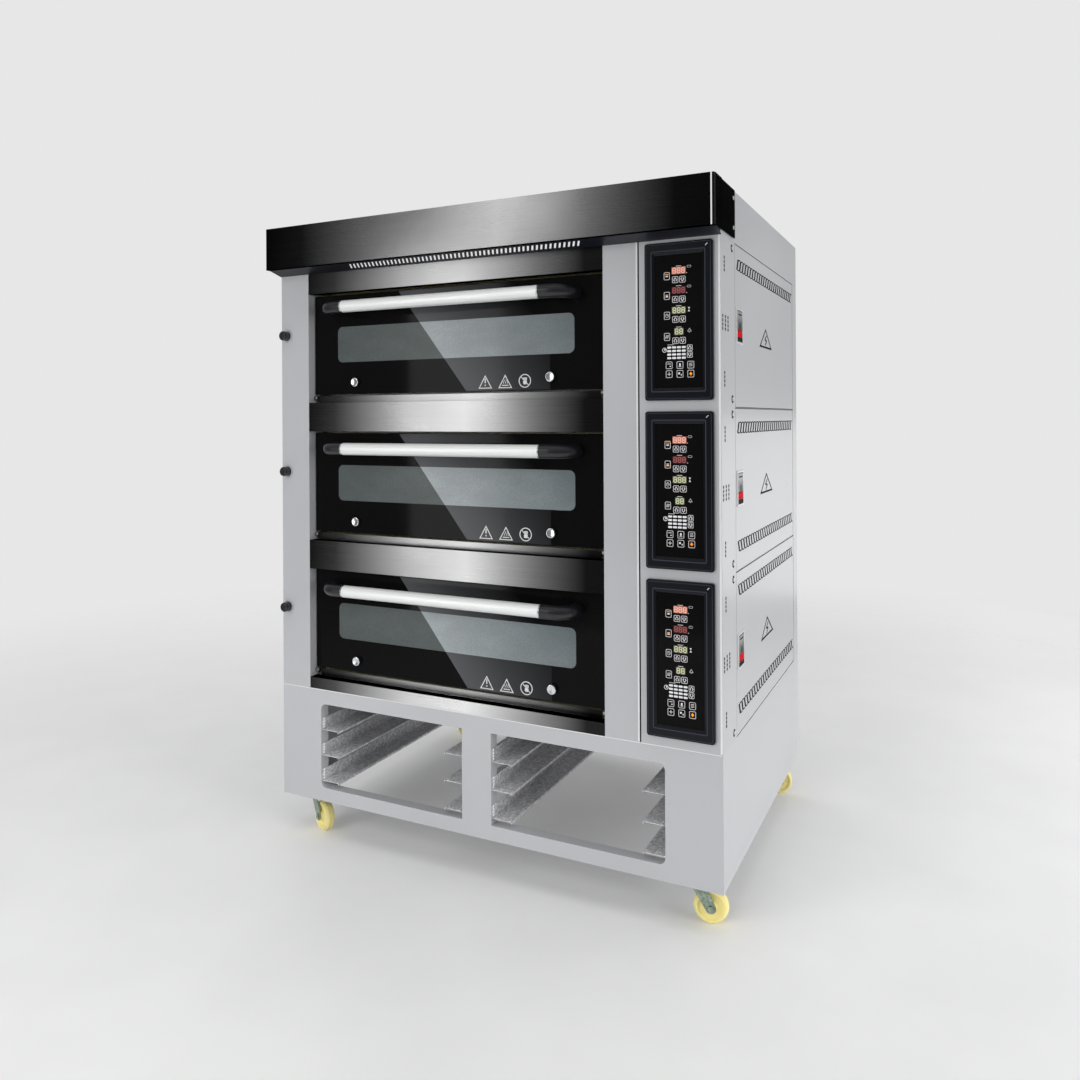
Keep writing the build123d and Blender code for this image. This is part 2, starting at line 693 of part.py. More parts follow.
with BuildPart() as baking_chambers:
    for deck in range(3):
        base = door_z(deck)
        inner_z = (base + FLOOR_RISE, base + ROOF_RISE)
        outer_z = (inner_z[0] - CHAMBER_WALL, inner_z[1] + CHAMBER_WALL)
        block(CHAMBER_OUTER_X, (CHAMBER_Y0, CHAMBER_Y1 + CHAMBER_WALL), outer_z)
        rim_x = (CHAMBER_OUTER_X[0] - FLANGE_RIM, CHAMBER_OUTER_X[1] + FLANGE_RIM)
        block(rim_x, (CHAMBER_Y0 - SHEET, CHAMBER_Y0), (base - 2, base + DOOR_H + 2))
        block(CHAMBER_X, (CHAMBER_Y0 - SHEET, CHAMBER_Y1), inner_z, mode=Mode.SUBTRACT)
        with BuildSketch(facing_front(CHAMBER_Y1)):
            with Locations((OPENING_X, base + FLUE_RISE)):
                Circle(FLUE_R - FLUE_WALL)
        extrude(amount=-CHAMBER_WALL, mode=Mode.SUBTRACT)
        ledge_z = (base + HEARTH_RISE - 3, base + HEARTH_RISE)
        ledge_y = (CHAMBER_Y0 + 10, CHAMBER_Y1 - 10)
        block((CHAMBER_X[0], CHAMBER_X[0] + LEDGE_W), ledge_y, ledge_z)
        block((CHAMBER_X[1] - LEDGE_W, CHAMBER_X[1]), ledge_y, ledge_z)
save(baking_chambers, "baking_chambers")

with BuildPart() as hearth_plates:
    hearth_x = (CHAMBER_X[0] + 2, CHAMBER_X[1] - 2)
    hearth_y = (CHAMBER_Y0 + 6, CHAMBER_Y1 - 4)
    for deck in range(3):
        low = door_z(deck) + HEARTH_RISE
        block(hearth_x, hearth_y, (low, low + HEARTH_T))
save(hearth_plates, "hearth_plates")

# heating elements: straight rods from wall to wall, under the hearth and under the roof
ELEMENT_R = 4
ELEMENT_PITCH = 120
ELEMENT_COUNT = 6
ELEMENT_Y = (CHAMBER_Y0 + CHAMBER_Y1) / 2
ELEMENT_RISES = (FLOOR_RISE + 8, ROOF_RISE - 12)

with BuildPart() as heating_elements:
    for deck in range(3):
        with BuildSketch(Plane.YZ.offset(CHAMBER_X[0])):
            with Locations(*((ELEMENT_Y, door_z(deck) + rise) for rise in ELEMENT_RISES)):
                with GridLocations(ELEMENT_PITCH, 1, ELEMENT_COUNT, 1):
                    Circle(ELEMENT_R)
        extrude(amount=CHAMBER_W)
save(heating_elements, "heating_elements")

# mineral wool: one block round each chamber, a millimetre clear of it
WOOL_X = (-596, 405)
WOOL_BACK_Y = 400
WOOL_DROP = 44
WOOL_RISE = 322
WOOL_GAP = 1

with BuildPart() as insulation:
    for deck in range(3):
        base = door_z(deck)
        block(WOOL_X, (CHAMBER_Y0 + 4, WOOL_BACK_Y), (base - WOOL_DROP, base + WOOL_RISE))
        block(
            (CHAMBER_OUTER_X[0] - WOOL_GAP, CHAMBER_OUTER_X[1] + WOOL_GAP),
            (CHAMBER_Y0, CHAMBER_Y1 + CHAMBER_WALL + WOOL_GAP),
            (base + FLOOR_RISE - CHAMBER_WALL - WOOL_GAP, base + ROOF_RISE + CHAMBER_WALL + WOOL_GAP),
            mode=Mode.SUBTRACT,
        )
        with BuildSketch(facing_front(CHAMBER_Y1)):
            with Locations((OPENING_X, base + FLUE_RISE)):
                Circle(FLUE_R + WOOL_GAP)
        extrude(amount=-(WOOL_BACK_Y - CHAMBER_Y1), mode=Mode.SUBTRACT)
save(insulation, "insulation")

# ---------------------------------------------------------------- control units
GLASS_PANEL_W = 110
GLASS_PANEL_H = 298
GLASS_PANEL_T = 3
GLASS_PANEL_DEPTH = 5
BEZEL_PROUD = 9
BEZEL_TAIL = 15
BEVEL_W = 6

with BuildPart() as control_bezels:
    with BuildSketch(facing_front(FRONT)):
        with Locations(*((BEZEL_X, z) for z in BEZEL_Z)):
            RectangleRounded(BEZEL_W, BEZEL_H, 6)
    extrude(amount=BEZEL_PROUD)
    fillet(control_bezels.faces().filter_by(Axis.Y).group_by(Axis.Y)[0].edges(), 2.5)
    with BuildSketch(facing_front(FRONT)):
        with Locations(*((BEZEL_X, z) for z in BEZEL_Z)):
            Rectangle(BEZEL_W - 2 * CUTOUT_MARGIN - 3, BEZEL_H - 2 * CUTOUT_MARGIN - 3)
    extrude(amount=-BEZEL_TAIL)
    with BuildSketch(facing_front(FRONT - BEZEL_PROUD)):
        with Locations(*((BEZEL_X, z) for z in BEZEL_Z)):
            Rectangle(GLASS_PANEL_W, GLASS_PANEL_H)
    extrude(amount=-(BEZEL_PROUD + BEZEL_TAIL), mode=Mode.SUBTRACT)
    with BuildSketch(facing_front(FRONT - BEZEL_PROUD)):
        with Locations(*((BEZEL_X, z) for z in BEZEL_Z)):
            Rectangle(GLASS_PANEL_W + 2 * BEVEL_W, GLASS_PANEL_H + 2 * BEVEL_W)
    extrude(amount=-4, taper=56, mode=Mode.SUBTRACT)
save(control_bezels, "control_bezels")

with BuildPart() as control_glasses:
    with BuildSketch(facing_front(FRONT - BEZEL_PROUD + GLASS_PANEL_DEPTH)):
        with Locations(*((BEZEL_X, z) for z in BEZEL_Z)):
            Rectangle(GLASS_PANEL_W - 0.6, GLASS_PANEL_H - 0.6)
    extrude(amount=-GLASS_PANEL_T)
save(control_glasses, "control_glasses")

BOARD_Y = FRONT + BEZEL_TAIL + 6
BOARD_W = 100
BOARD_H = 290
BOARD_T = 1.6
RELAY_H = 32
RELAY_DEPTH = 20
RELAY_RISES = (-95, -40, 60)

with BuildPart() as control_boards:
    board_x = (BEZEL_X - BOARD_W / 2, BEZEL_X + BOARD_W / 2)
    relay_x = (BEZEL_X - 30, BEZEL_X + 5)
    relay_y = (BOARD_Y + BOARD_T, BOARD_Y + BOARD_T + RELAY_DEPTH)
    for z in BEZEL_Z:
        block(board_x, (BOARD_Y, BOARD_Y + BOARD_T), (z - BOARD_H / 2, z + BOARD_H / 2))
        for rise in RELAY_RISES:
            block(relay_x, relay_y, (z + rise, z + rise + RELAY_H))
save(control_boards, "control_boards")

# ---------------------------------------------------------------- baking doors
HANDLE_R = 16
HANDLE_WALL = 2
HANDLE_LEN = 585
HANDLE_Y = GLASS_Y - 60
HANDLE_DROP = 41
BRACKET_R = 17
BRACKET_RUN = 25
BRACKET_BEND_R = 42
BOSS_X = 293
BOSS_RISE = 32
BOSS_R = 12.5
BOSS_PROUD = 9
PAN_RISE = 6
PAN_CUT = 4
EAR_T = 8
EAR_R = 7
PIN_L = 11
SIGHT_INSET_X = 8
SIGHT_INSET_Z = 6
PANE_T = 4


def door_glass(base):
    """Outer black glass and the inner window pane of one baking door."""
    with BuildPart() as glass:
        with BuildSketch(facing_front(GLASS_Y)):
            with Locations((OPENING_X, base + DOOR_H / 2)):
                RectangleRounded(GLASS_W, DOOR_H, 3)
        extrude(amount=-GLASS_T)
        fillet(glass.faces().sort_by(Axis.Y)[0].edges(), 1)
        pane_y = GLASS_Y + GLASS_T + PAN_DEPTH - PANE_T - 2
        with BuildSketch(facing_front(pane_y)):
            with Locations((OPENING_X, base + DOOR_H / 2)):
                Rectangle(WINDOW_W - 1, WINDOW_H - 1)
        extrude(amount=-PANE_T)
    return glass


def door_frame(base):
    """Sheet pan behind the glass, with its window tunnel, hinge ears and pins."""
    pan_y = (GLASS_Y + GLASS_T, GLASS_Y + GLASS_T + PAN_DEPTH)
    pan_z = (base + PAN_RISE, base + DOOR_H - PAN_CUT)
    window_z = base + DOOR_H / 2
    tunnel_x = (OPENING_X - WINDOW_W / 2 - SHEET, OPENING_X + WINDOW_W / 2 + SHEET)
    tunnel_z = (window_z - WINDOW_H / 2 - SHEET, window_z + WINDOW_H / 2 + SHEET)
    with BuildPart() as frame:
        block(PAN_X, pan_y, pan_z)
        hollow_x = (PAN_X[0] + SHEET, PAN_X[1] - SHEET)
        hollow_z = (pan_z[0] + SHEET, pan_z[1] - SHEET)
        block(hollow_x, (pan_y[0], pan_y[1] - SHEET), hollow_z, mode=Mode.SUBTRACT)
        block(tunnel_x, pan_y, tunnel_z)
        bore_x = (tunnel_x[0] + SHEET, tunnel_x[1] - SHEET)
        bore_z = (tunnel_z[0] + SHEET, tunnel_z[1] - SHEET)
        block(bore_x, (pan_y[0], pan_y[1] - SHEET), bore_z, mode=Mode.SUBTRACT)
        sight_x = (bore_x[0] + SIGHT_INSET_X, bore_x[1] - SIGHT_INSET_X)
        sight_z = (bore_z[0] + SIGHT_INSET_Z, bore_z[1] - SIGHT_INSET_Z)
        block(sight_x, pan_y, sight_z, mode=Mode.SUBTRACT)
        hinge_z = base - HINGE_DROP
        for ear_x, outward in ((PAN_X[0], -1), (PAN_X[1], 1)):
            with BuildSketch(Plane.YZ.offset(ear_x)):
                with Locations((HINGE_Y, hinge_z)):
                    Circle(EAR_R)
                ear_mid = (pan_y[0] + pan_y[1]) / 2
                with Locations((ear_mid, hinge_z + 20)):
                    Rectangle(PAN_DEPTH, 40)
            extrude(amount=outward * EAR_T)
            with BuildSketch(Plane.YZ.offset(ear_x)):
                with Locations((HINGE_Y, hinge_z)):
                    Circle(HINGE_R)
            extrude(amount=outward * (EAR_T + PIN_L))
    return frame


def door_handle(base):
    """Tubular grip of one baking door."""
    with BuildPart() as handle:
        with BuildSketch(Plane.YZ.offset(OPENING_X - HANDLE_LEN / 2)):
            with Locations((HANDLE_Y, base + DOOR_H - HANDLE_DROP)):
                Circle(HANDLE_R)
                Circle(HANDLE_R - HANDLE_WALL, mode=Mode.SUBTRACT)
        extrude(amount=HANDLE_LEN)
    return handle


def door_fittings(base):
    """Elbow brackets that carry the grip, and the two round bumpers below it."""
    handle_z = base + DOOR_H - HANDLE_DROP
    grip_end = OPENING_X + HANDLE_LEN / 2
    bend_x = grip_end + BRACKET_RUN
    foot_x = bend_x + BRACKET_BEND_R
    bend_y = HANDLE_Y + BRACKET_BEND_R
    with BuildPart() as fittings:
        with BuildLine(Plane.XY.offset(handle_z)) as elbow:
            Line((grip_end, HANDLE_Y), (bend_x, HANDLE_Y))
            CenterArc((bend_x, bend_y), BRACKET_BEND_R, -90, 90)
            Line((foot_x, bend_y), (foot_x, GLASS_Y))
        with BuildSketch(Plane.YZ.offset(grip_end)):
            with Locations((HANDLE_Y, handle_z)):
                Circle(BRACKET_R)
        sweep(path=elbow.wires()[0])
        with BuildSketch(facing_front(GLASS_Y)):
            with Locations((OPENING_X + BOSS_X, base + BOSS_RISE)):
                Circle(BOSS_R)
        extrude(amount=BOSS_PROUD)
        fillet(fittings.faces().sort_by(Axis.Z)[0].edges().sort_by(Axis.Y)[0], 2.5)
        mirror(about=Plane.YZ.offset(OPENING_X))
    return fittings


KNOB_R = 13
KNOB_L = 20
ROD_LEN = 140


def damper(base):
    """Steam damper: a knob on a pull rod."""
    knob_y = FRONT - 1
    with BuildPart() as pull:
        with BuildSketch(facing_front(knob_y)):
            with Locations((DAMPER_X, base + DAMPER_RISE)):
                Circle(KNOB_R)
        extrude(amount=KNOB_L)
        fillet(pull.edges().filter_by(GeomType.CIRCLE).sort_by(Axis.Y)[0], 4)
        with BuildSketch(facing_front(knob_y)):
            with Locations((DAMPER_X, base + DAMPER_RISE)):
                Circle(DAMPER_ROD_R)
        extrude(amount=-ROD_LEN)
    return pull


# ---------------------------------------------------------------- service doors
SEAM = 1.0
HINGE_BLOCK = 6
LOUVRE_H = 25
LOUVRE_W = 9
LOUVRE_LEAN = 12
LOUVRE_PITCH = 26
LOUVRE_COUNT = 26
LOUVRE_Y0 = SERVICE_Y0 + 22
LOCK_RISE = 192
LOCK_Y = SERVICE_Y0 + 40
LOCK_W = 64
LOCK_H = 84
# heights of each door's louvre rows over its lower shelf, and which way they lean
LOUVRE_ROWS = {
    "bottom": [(57, -1), (335, -1)],
    "middle": [(57, -1), (335, 1)],
    "top": [(335, 1)],
}


def service_door(deck):
    """Side door of the electrical bay: a folded pan with louvres and hinge blocks."""
    low = SHELF_Z[deck] + SHELF_T / 2 + SEAM
    high = SHELF_Z[deck + 1] - SHELF_T / 2 - SEAM
    inner_face = HALF_WIDTH - SERVICE_DEPTH
    with BuildPart() as door:
        block((inner_face, HALF_WIDTH), (SERVICE_Y0, SERVICE_Y1), (low, high))
        block(
            (inner_face, HALF_WIDTH - SHEET),
            (SERVICE_Y0 + SHEET, SERVICE_Y1 - SHEET),
            (low + SHEET, high - SHEET),
            mode=Mode.SUBTRACT,
        )
        for corner_z in ((low, low + HINGE_BLOCK), (high - HINGE_BLOCK, high)):
            block((inner_face, HALF_WIDTH - SHEET), (SERVICE_Y1 - 14, SERVICE_Y1), corner_z)
        with BuildSketch(Plane.XY.offset(low)):
            with Locations((SERVICE_AXIS_X, SERVICE_AXIS_Y)):
                Circle(SERVICE_PIN_R + RUNNING_GAP)
        extrude(amount=high - low, mode=Mode.SUBTRACT)
        with BuildSketch(Plane.YZ.offset(HALF_WIDTH)):
            with Locations((LOCK_Y, SHELF_Z[deck] + LOCK_RISE)):
                Rectangle(LOCK_W - 6, LOCK_H - 6)
            for rise, lean in LOUVRE_ROWS[DECKS[deck]]:
                row_low = SHELF_Z[deck] + rise - LOUVRE_H / 2
                shift = lean * LOUVRE_LEAN / 2
                for index in range(LOUVRE_COUNT):
                    y = LOUVRE_Y0 + index * LOUVRE_PITCH
                    with BuildLine():
                        Polyline(
                            (y - shift, row_low),
                            (y - shift + LOUVRE_W, row_low),
                            (y + shift + LOUVRE_W, row_low + LOUVRE_H),
                            (y + shift, row_low + LOUVRE_H),
                            close=True,
                        )
                    make_face()
        extrude(amount=-SHEET, mode=Mode.SUBTRACT)
    return door


LOCK_FACE_X = HALF_WIDTH + 2
LOCK_DEPTH = 18
LOCK_CAVITY_W = 50
LOCK_CAVITY_H = 74
PADDLE_W = 49
PADDLE_T = 4
PADDLE_TOP = 36
PADDLE_PIVOT = 33
PADDLE_LOW = -8
PADDLE_PIN_R = 1.5
BUTTON_W = 48
BUTTON_Z0 = -26
BUTTON_Z1 = -9.5


def lock_housing(centre_z):
    """Flush lock case: a rim on the door's face and a box behind it."""
    with BuildPart() as housing:
        with BuildSketch(Plane.YZ.offset(LOCK_FACE_X)):
            with Locations((LOCK_Y, centre_z)):
                RectangleRounded(LOCK_W, LOCK_H, 3)
        extrude(amount=-(LOCK_FACE_X - HALF_WIDTH))
        chamfer(housing.faces().sort_by(Axis.X)[-1].edges(), 0.8)
        with BuildSketch(Plane.YZ.offset(HALF_WIDTH)):
            with Locations((LOCK_Y, centre_z)):
                Rectangle(LOCK_W - 8, LOCK_H - 8)
        extrude(amount=-LOCK_DEPTH)
        with BuildSketch(Plane.YZ.offset(LOCK_FACE_X)):
            with Locations((LOCK_Y, centre_z)):
                Rectangle(LOCK_CAVITY_W, LOCK_CAVITY_H)
        extrude(amount=-(LOCK_FACE_X - HALF_WIDTH + LOCK_DEPTH - 1), mode=Mode.SUBTRACT)
        lower_y = (LOCK_Y - LOCK_CAVITY_W / 2, LOCK_Y + LOCK_CAVITY_W / 2)
        lower_z = (centre_z - LOCK_CAVITY_H / 2, centre_z + BUTTON_Z0 - 0.5)
        block((HALF_WIDTH - LOCK_DEPTH, HALF_WIDTH - 2), lower_y, lower_z)
        with BuildSketch(Plane.XZ.offset(-LOCK_Y)):
            with Locations((HALF_WIDTH - 1, centre_z + PADDLE_PIVOT)):
                Circle(PADDLE_PIN_R + RUNNING_GAP)
        extrude(amount=PADDLE_W / 2 + 2.5, both=True, mode=Mode.SUBTRACT)
    return housing


def lock_paddle(centre_z):
    """Lock paddle with its pivot pins and key cylinder."""
    paddle_x = (HALF_WIDTH - 3, HALF_WIDTH + 1)
    with BuildPart() as paddle:
        paddle_y = (LOCK_Y - PADDLE_W / 2, LOCK_Y + PADDLE_W / 2)
        block(paddle_x, paddle_y, (centre_z + PADDLE_LOW, centre_z + PADDLE_TOP))
        with BuildSketch(Plane.XZ.offset(-LOCK_Y)):
            with Locations((HALF_WIDTH - 1, centre_z + PADDLE_PIVOT)):
                Circle(PADDLE_PIN_R)
        extrude(amount=PADDLE_W / 2 + 2, both=True)
        with BuildSketch(Plane.YZ.offset(paddle_x[1])):
            with Locations((LOCK_Y, centre_z + 1)):
                Circle(6)
        extrude(amount=-12)
        with BuildSketch(Plane.YZ.offset(paddle_x[1])):
            with Locations((LOCK_Y, centre_z + 1)):
                Rectangle(1.4, 6)
            with Locations((LOCK_Y, centre_z + 26)):
                SlotOverall(26, 2.4)
        extrude(amount=-1.2, mode=Mode.SUBTRACT)
    return paddle


def lock_button(centre_z):
    """Release button beside the key cylinder."""
    with BuildPart() as button:
        button_y = (LOCK_Y - BUTTON_W / 2, LOCK_Y + BUTTON_W / 2)
        button_z = (centre_z + BUTTON_Z0, centre_z + BUTTON_Z1)
        block((HALF_WIDTH - 7, HALF_WIDTH + 1.5), button_y, button_z)
        fillet(button.faces().sort_by(Axis.X)[-1].edges(), 1.2)
    return button


for deck, deck_name in enumerate(DECKS):
    base_z = door_z(deck)
    lock_z = SHELF_Z[deck] + LOCK_RISE
    save(door_glass(base_z), f"door_glass_{deck_name}")
    save(door_frame(base_z), f"door_frame_{deck_name}")
    save(door_handle(base_z), f"door_handle_{deck_name}")
    save(door_fittings(base_z), f"door_fittings_{deck_name}")
    save(damper(base_z), f"damper_{deck_name}")
    save(service_door(deck), f"service_door_{deck_name}")
    save(lock_housing(lock_z), f"lock_housing_{deck_name}")
    save(lock_paddle(lock_z), f"lock_paddle_{deck_name}")
    save(lock_button(lock_z), f"lock_button_{deck_name}")
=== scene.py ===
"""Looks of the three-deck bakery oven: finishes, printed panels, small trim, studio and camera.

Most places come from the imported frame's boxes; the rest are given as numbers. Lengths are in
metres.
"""

import json
import math

import bmesh
import bpy
from mathutils import Matrix, Vector


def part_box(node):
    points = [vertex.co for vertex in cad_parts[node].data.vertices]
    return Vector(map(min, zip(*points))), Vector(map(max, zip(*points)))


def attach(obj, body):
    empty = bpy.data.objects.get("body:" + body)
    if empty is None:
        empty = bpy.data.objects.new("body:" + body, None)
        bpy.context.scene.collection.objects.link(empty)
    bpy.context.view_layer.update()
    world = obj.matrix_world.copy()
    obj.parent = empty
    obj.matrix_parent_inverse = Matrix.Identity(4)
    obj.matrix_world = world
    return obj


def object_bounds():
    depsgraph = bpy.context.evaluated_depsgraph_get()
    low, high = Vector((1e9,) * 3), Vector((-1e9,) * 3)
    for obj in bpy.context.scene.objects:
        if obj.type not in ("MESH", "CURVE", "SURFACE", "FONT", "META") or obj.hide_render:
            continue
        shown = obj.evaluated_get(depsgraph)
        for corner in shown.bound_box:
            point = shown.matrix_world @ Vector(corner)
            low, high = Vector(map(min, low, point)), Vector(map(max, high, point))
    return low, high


MM = 0.001
DECKS = ("bottom", "middle", "top")

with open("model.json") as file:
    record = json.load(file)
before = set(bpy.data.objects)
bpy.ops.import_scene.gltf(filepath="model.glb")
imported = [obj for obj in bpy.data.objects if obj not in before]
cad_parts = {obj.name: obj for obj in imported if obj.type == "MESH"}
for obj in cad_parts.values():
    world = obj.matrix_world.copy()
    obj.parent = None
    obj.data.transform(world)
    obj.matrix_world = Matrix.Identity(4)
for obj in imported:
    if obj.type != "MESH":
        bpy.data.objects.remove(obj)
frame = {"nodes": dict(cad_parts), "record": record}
cad_low, cad_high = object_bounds()


# ---------------- node helpers
def new_finish(name, **sockets):
    """A Principled material; keyword names are socket names with _ for spaces."""
    material = bpy.data.materials.new(name)
    material.use_nodes = True
    shader = material.node_tree.nodes["Principled BSDF"]
    for socket, value in sockets.items():
        shader.inputs[socket.replace("_", " ")].default_value = value
    return material


def add_node(material, kind, inputs=None, **settings):
    """A node with its settings, and each input either linked or set."""
    tree = material.node_tree
    made = tree.nodes.new(kind)
    for key, value in settings.items():
        setattr(made, key, value)
    for key, value in (inputs or {}).items():
        if isinstance(value, bpy.types.NodeSocket):
            tree.links.new(value, made.inputs[key])
        else:
            made.inputs[key].default_value = value
    return made


def place(material, scale=(1, 1, 1), turn=(0, 0, 0)):
    """Object coordinates in metres, turned and then stretched."""
    coordinates = add_node(material, "ShaderNodeTexCoord")
    inputs = {"Vector": coordinates.outputs["Object"], "Scale": scale, "Rotation": turn}
    return add_node(material, "ShaderNodeMapping", inputs).outputs["Vector"]


def noise(material, scale, detail=3.0, turn=(0, 0, 0)):
    """Noise whose grain is 1/scale metres along each axis."""
    inputs = {"Vector": place(material, scale, turn), "Scale": 1.0, "Detail": detail}
    return add_node(material, "ShaderNodeTexNoise", inputs).outputs["Fac"]


def ramp(material, factor, stops):
    """Colours by factor; stops are (position, colour) with colour a grey or an RGB."""
    made = add_node(material, "ShaderNodeValToRGB", {"Fac": factor})
    elements = made.color_ramp.elements
    while len(elements) < len(stops):
        elements.new(0.5)
    for element, (position, colour) in zip(elements, stops):
        element.position = position
        element.color = tint(colour)
    return made.outputs["Color"]


def tint(colour):
    """A grey or an RGB as RGBA."""
    rgb = (colour,) * 3 if isinstance(colour, (int, float)) else tuple(colour)
    return rgb + (1.0,)


def shade(colour, share):
    """A colour made lighter or darker by a share."""
    return tuple(channel * share for channel in tint(colour)[:3])


def spread(material, factor, low, high, start=0.0, end=1.0, **settings):
    """A factor from start..end taken to low..high."""
    inputs = {"Value": factor, "From Min": start, "From Max": end, "To Min": low, "To Max": high}
    return add_node(material, "ShaderNodeMapRange", inputs, **settings).outputs["Result"]


def maths(material, operation, *values):
    """The result of a Math node on numbers or outputs."""
    made = add_node(material, "ShaderNodeMath", dict(enumerate(values)), operation=operation)
    return made.outputs[0]


def blend(material, factor, first, second, way="MIX"):
    """Two colours blended by a factor."""
    inputs = {"Factor": factor, "A": first, "B": second}
    made = add_node(material, "ShaderNodeMix", inputs, data_type="RGBA", blend_type=way)
    return made.outputs["Result"]


def multiply(material, first, second):
    """Two colours, or a colour and a factor, multiplied."""
    return blend(material, 1.0, first, second, "MULTIPLY")


def object_axis(material, axis):
    """One axis of the object coordinates, in metres."""
    coordinates = add_node(material, "ShaderNodeTexCoord").outputs["Object"]
    return add_node(material, "ShaderNodeSeparateXYZ", {"Vector": coordinates}).outputs[axis]


def normal_axis(material, axis):
    """One axis of the surface's direction."""
    normal = add_node(material, "ShaderNodeNewGeometry").outputs["Normal"]
    return add_node(material, "ShaderNodeSeparateXYZ", {"Vector": normal}).outputs[axis]


def vary(material, factor, colour, low, high):
    """One colour, darker to lighter by factor; low and high are (position, share)."""
    return ramp(material, factor, [(at, shade(colour, share)) for at, share in (low, high)])


def wire(material, **links):
    """Links sockets of the Principled shader; names have _ for spaces."""
    shader = material.node_tree.nodes["Principled BSDF"]
    for socket, output in links.items():
        material.node_tree.links.new(output, shader.inputs[socket.replace("_", " ")])


def rough_up(material, height, depth, edge=0.0):
    """Bump from a height, depth metres deep, with rounded-looking edges if edge is set."""
    inputs = {"Height": height, "Distance": depth, "Strength": 1.0}
    if edge:
        rounded = add_node(material, "ShaderNodeBevel", {"Radius": edge}, samples=4)
        inputs["Normal"] = rounded.outputs["Normal"]
    wire(material, Normal=add_node(material, "ShaderNodeBump", inputs).outputs["Normal"])


def surface(material, colours, rough_by, rough_range, bump, depth, edge=0.0):
    """Wires a finish: its colours, its roughness by a factor, and its bump."""
    wire(material, Base_Color=colours, Roughness=spread(material, rough_by, *rough_range))
    rough_up(material, bump, depth, edge)
    return material


# ---------------- finishes
STEEL_GRAIN_X = (3, 900, 900)
STEEL_GRAIN_Y = (900, 3, 900)
STEEL_GRAIN_Z = (900, 900, 3)


def painted_sheet(name, colour, roughness=0.34):
    """Powder-coated sheet: faint orange peel, slow tone drift and fine speckle."""
    material = new_finish(name, Metallic=0.0, Coat_Weight=0.25, Coat_Roughness=0.18)
    drift = noise(material, (2.2, 2.2, 1.6), 2)
    speckle = noise(material, (1400, 1400, 1400), 2)
    mixed = maths(material, "ADD", drift, maths(material, "MULTIPLY", speckle, 0.35))
    peel = noise(material, (420, 420, 420), 2)
    colours = vary(material, mixed, colour, (0.35, 0.94), (0.95, 1.05))
    rough = (roughness - 0.05, roughness + 0.06)
    return surface(material, colours, drift, rough, peel, 0.00006, 0.0009)


def brushed_metal(name, colour, grain, roughness=0.28, depth=0.00002, edge=0.0006):
    """Brushed sheet metal; grain is the noise scale, small along the brushing."""
    material = new_finish(name, Metallic=1.0)
    streaks = noise(material, grain, 4)
    blotches = noise(material, (5, 5, 5), 3)
    colours = vary(material, streaks, colour, (0.3, 0.82), (0.7, 1.08))
    both = maths(material, "MULTIPLY", streaks, blotches)
    rough = (roughness - 0.08, roughness + 0.22)
    return surface(material, colours, both, rough, streaks, depth, edge)


def painted_reflection_steel(name, tones_by_x, roughness, end_tone, low_lift):
    """Brushed steel with a painted reflection of a dark room with one bright spot along X.

    tones_by_x lists (metres, grey) of that painted reflection. As painted shade, faces that look up
    or down are almost black, faces that look sideways take end_tone as their painted reflection,
    and as a painted highlight all below BASE_STRIP_FADE is low_lift times as light.
    """
    material = brushed_metal(name, 0.6, STEEL_GRAIN_X, roughness)
    first, last = tones_by_x[0][0], tones_by_x[-1][0]
    along = spread(material, object_axis(material, "X"), 0.0, 1.0, first, last)
    tones = ramp(material, along, [((x - first) / (last - first), grey) for x, grey in tones_by_x])
    grain_tone = ramp(material, noise(material, STEEL_GRAIN_X, 4), [(0.3, 0.84), (0.7, 1.0)])
    # painted highlight: the strip below BASE_STRIP_FADE is made lighter
    lift = spread(material, object_axis(material, "Z"), low_lift, 1.0, *BASE_STRIP_FADE)
    lifted = multiply(material, multiply(material, tones, grain_tone), lift)
    # painted shade and reflection by the face's direction
    sideways = maths(material, "ABSOLUTE", normal_axis(material, "X"))
    share = spread(material, sideways, 0.0, 1.0, 0.4, 0.8)
    ends = blend(material, share, lifted, tint(end_tone))
    upward = maths(material, "ABSOLUTE", normal_axis(material, "Z"))
    result = multiply(material, ends, ramp(material, upward, [(0.4, 1.0), (0.75, 0.03)]))
    wire(material, Base_Color=result, Specular_Tint=result)
    return material


def hood_steel(name):
    """The canopy's steel with its painted reflection, and a painted highlight: a thin glowing line
    along its front right edge.
    """
    material = painted_reflection_steel(name, CANOPY_REFLECTION_TONES, 0.26, 0.12, 1.0)
    # painted highlight: front faces close to HOOD_EDGE_X glow
    on_edge = maths(material, "COMPARE", object_axis(material, "X"), HOOD_EDGE_X, HOOD_EDGE_HALF)
    on_front = maths(material, "LESS_THAN", normal_axis(material, "Y"), FORWARD)
    line = maths(material, "MULTIPLY", on_edge, on_front)
    wire(material, Emission_Color=ramp(material, line, [(0.0, 0.0), (1.0, 1.0)]))
    shader = material.node_tree.nodes["Principled BSDF"]
    shader.inputs["Emission Strength"].default_value = HOOD_EDGE_HIGHLIGHT_GLOW
    return material


def satin_aluminium(name, colour):
    """Anodised tube, finely drawn along X."""
    material = new_finish(name, Metallic=0.25)
    lines = noise(material, STEEL_GRAIN_X, 4)
    colours = vary(material, lines, colour, (0.3, 0.93), (0.7, 1.0))
    return surface(material, colours, lines, (0.28, 0.42), lines, 0.00001, 0.0004)


def galvanised(name, colour, metal_share):
    """Galvanised sheet: spangles of slightly different greys, and a grainy surface."""
    material = new_finish(name, Metallic=metal_share)
    inputs = {"Vector": place(material), "Scale": 160.0}
    cells = add_node(material, "ShaderNodeTexVoronoi", inputs).outputs["Color"]
    dust = noise(material, (260, 260, 260), 5)
    joined = maths(material, "MULTIPLY", cells, dust)
    colours = vary(material, joined, colour, (0.1, 0.68), (0.55, 1.25))
    return surface(material, colours, dust, (0.34, 0.62), dust, 0.00015, 0.0006)


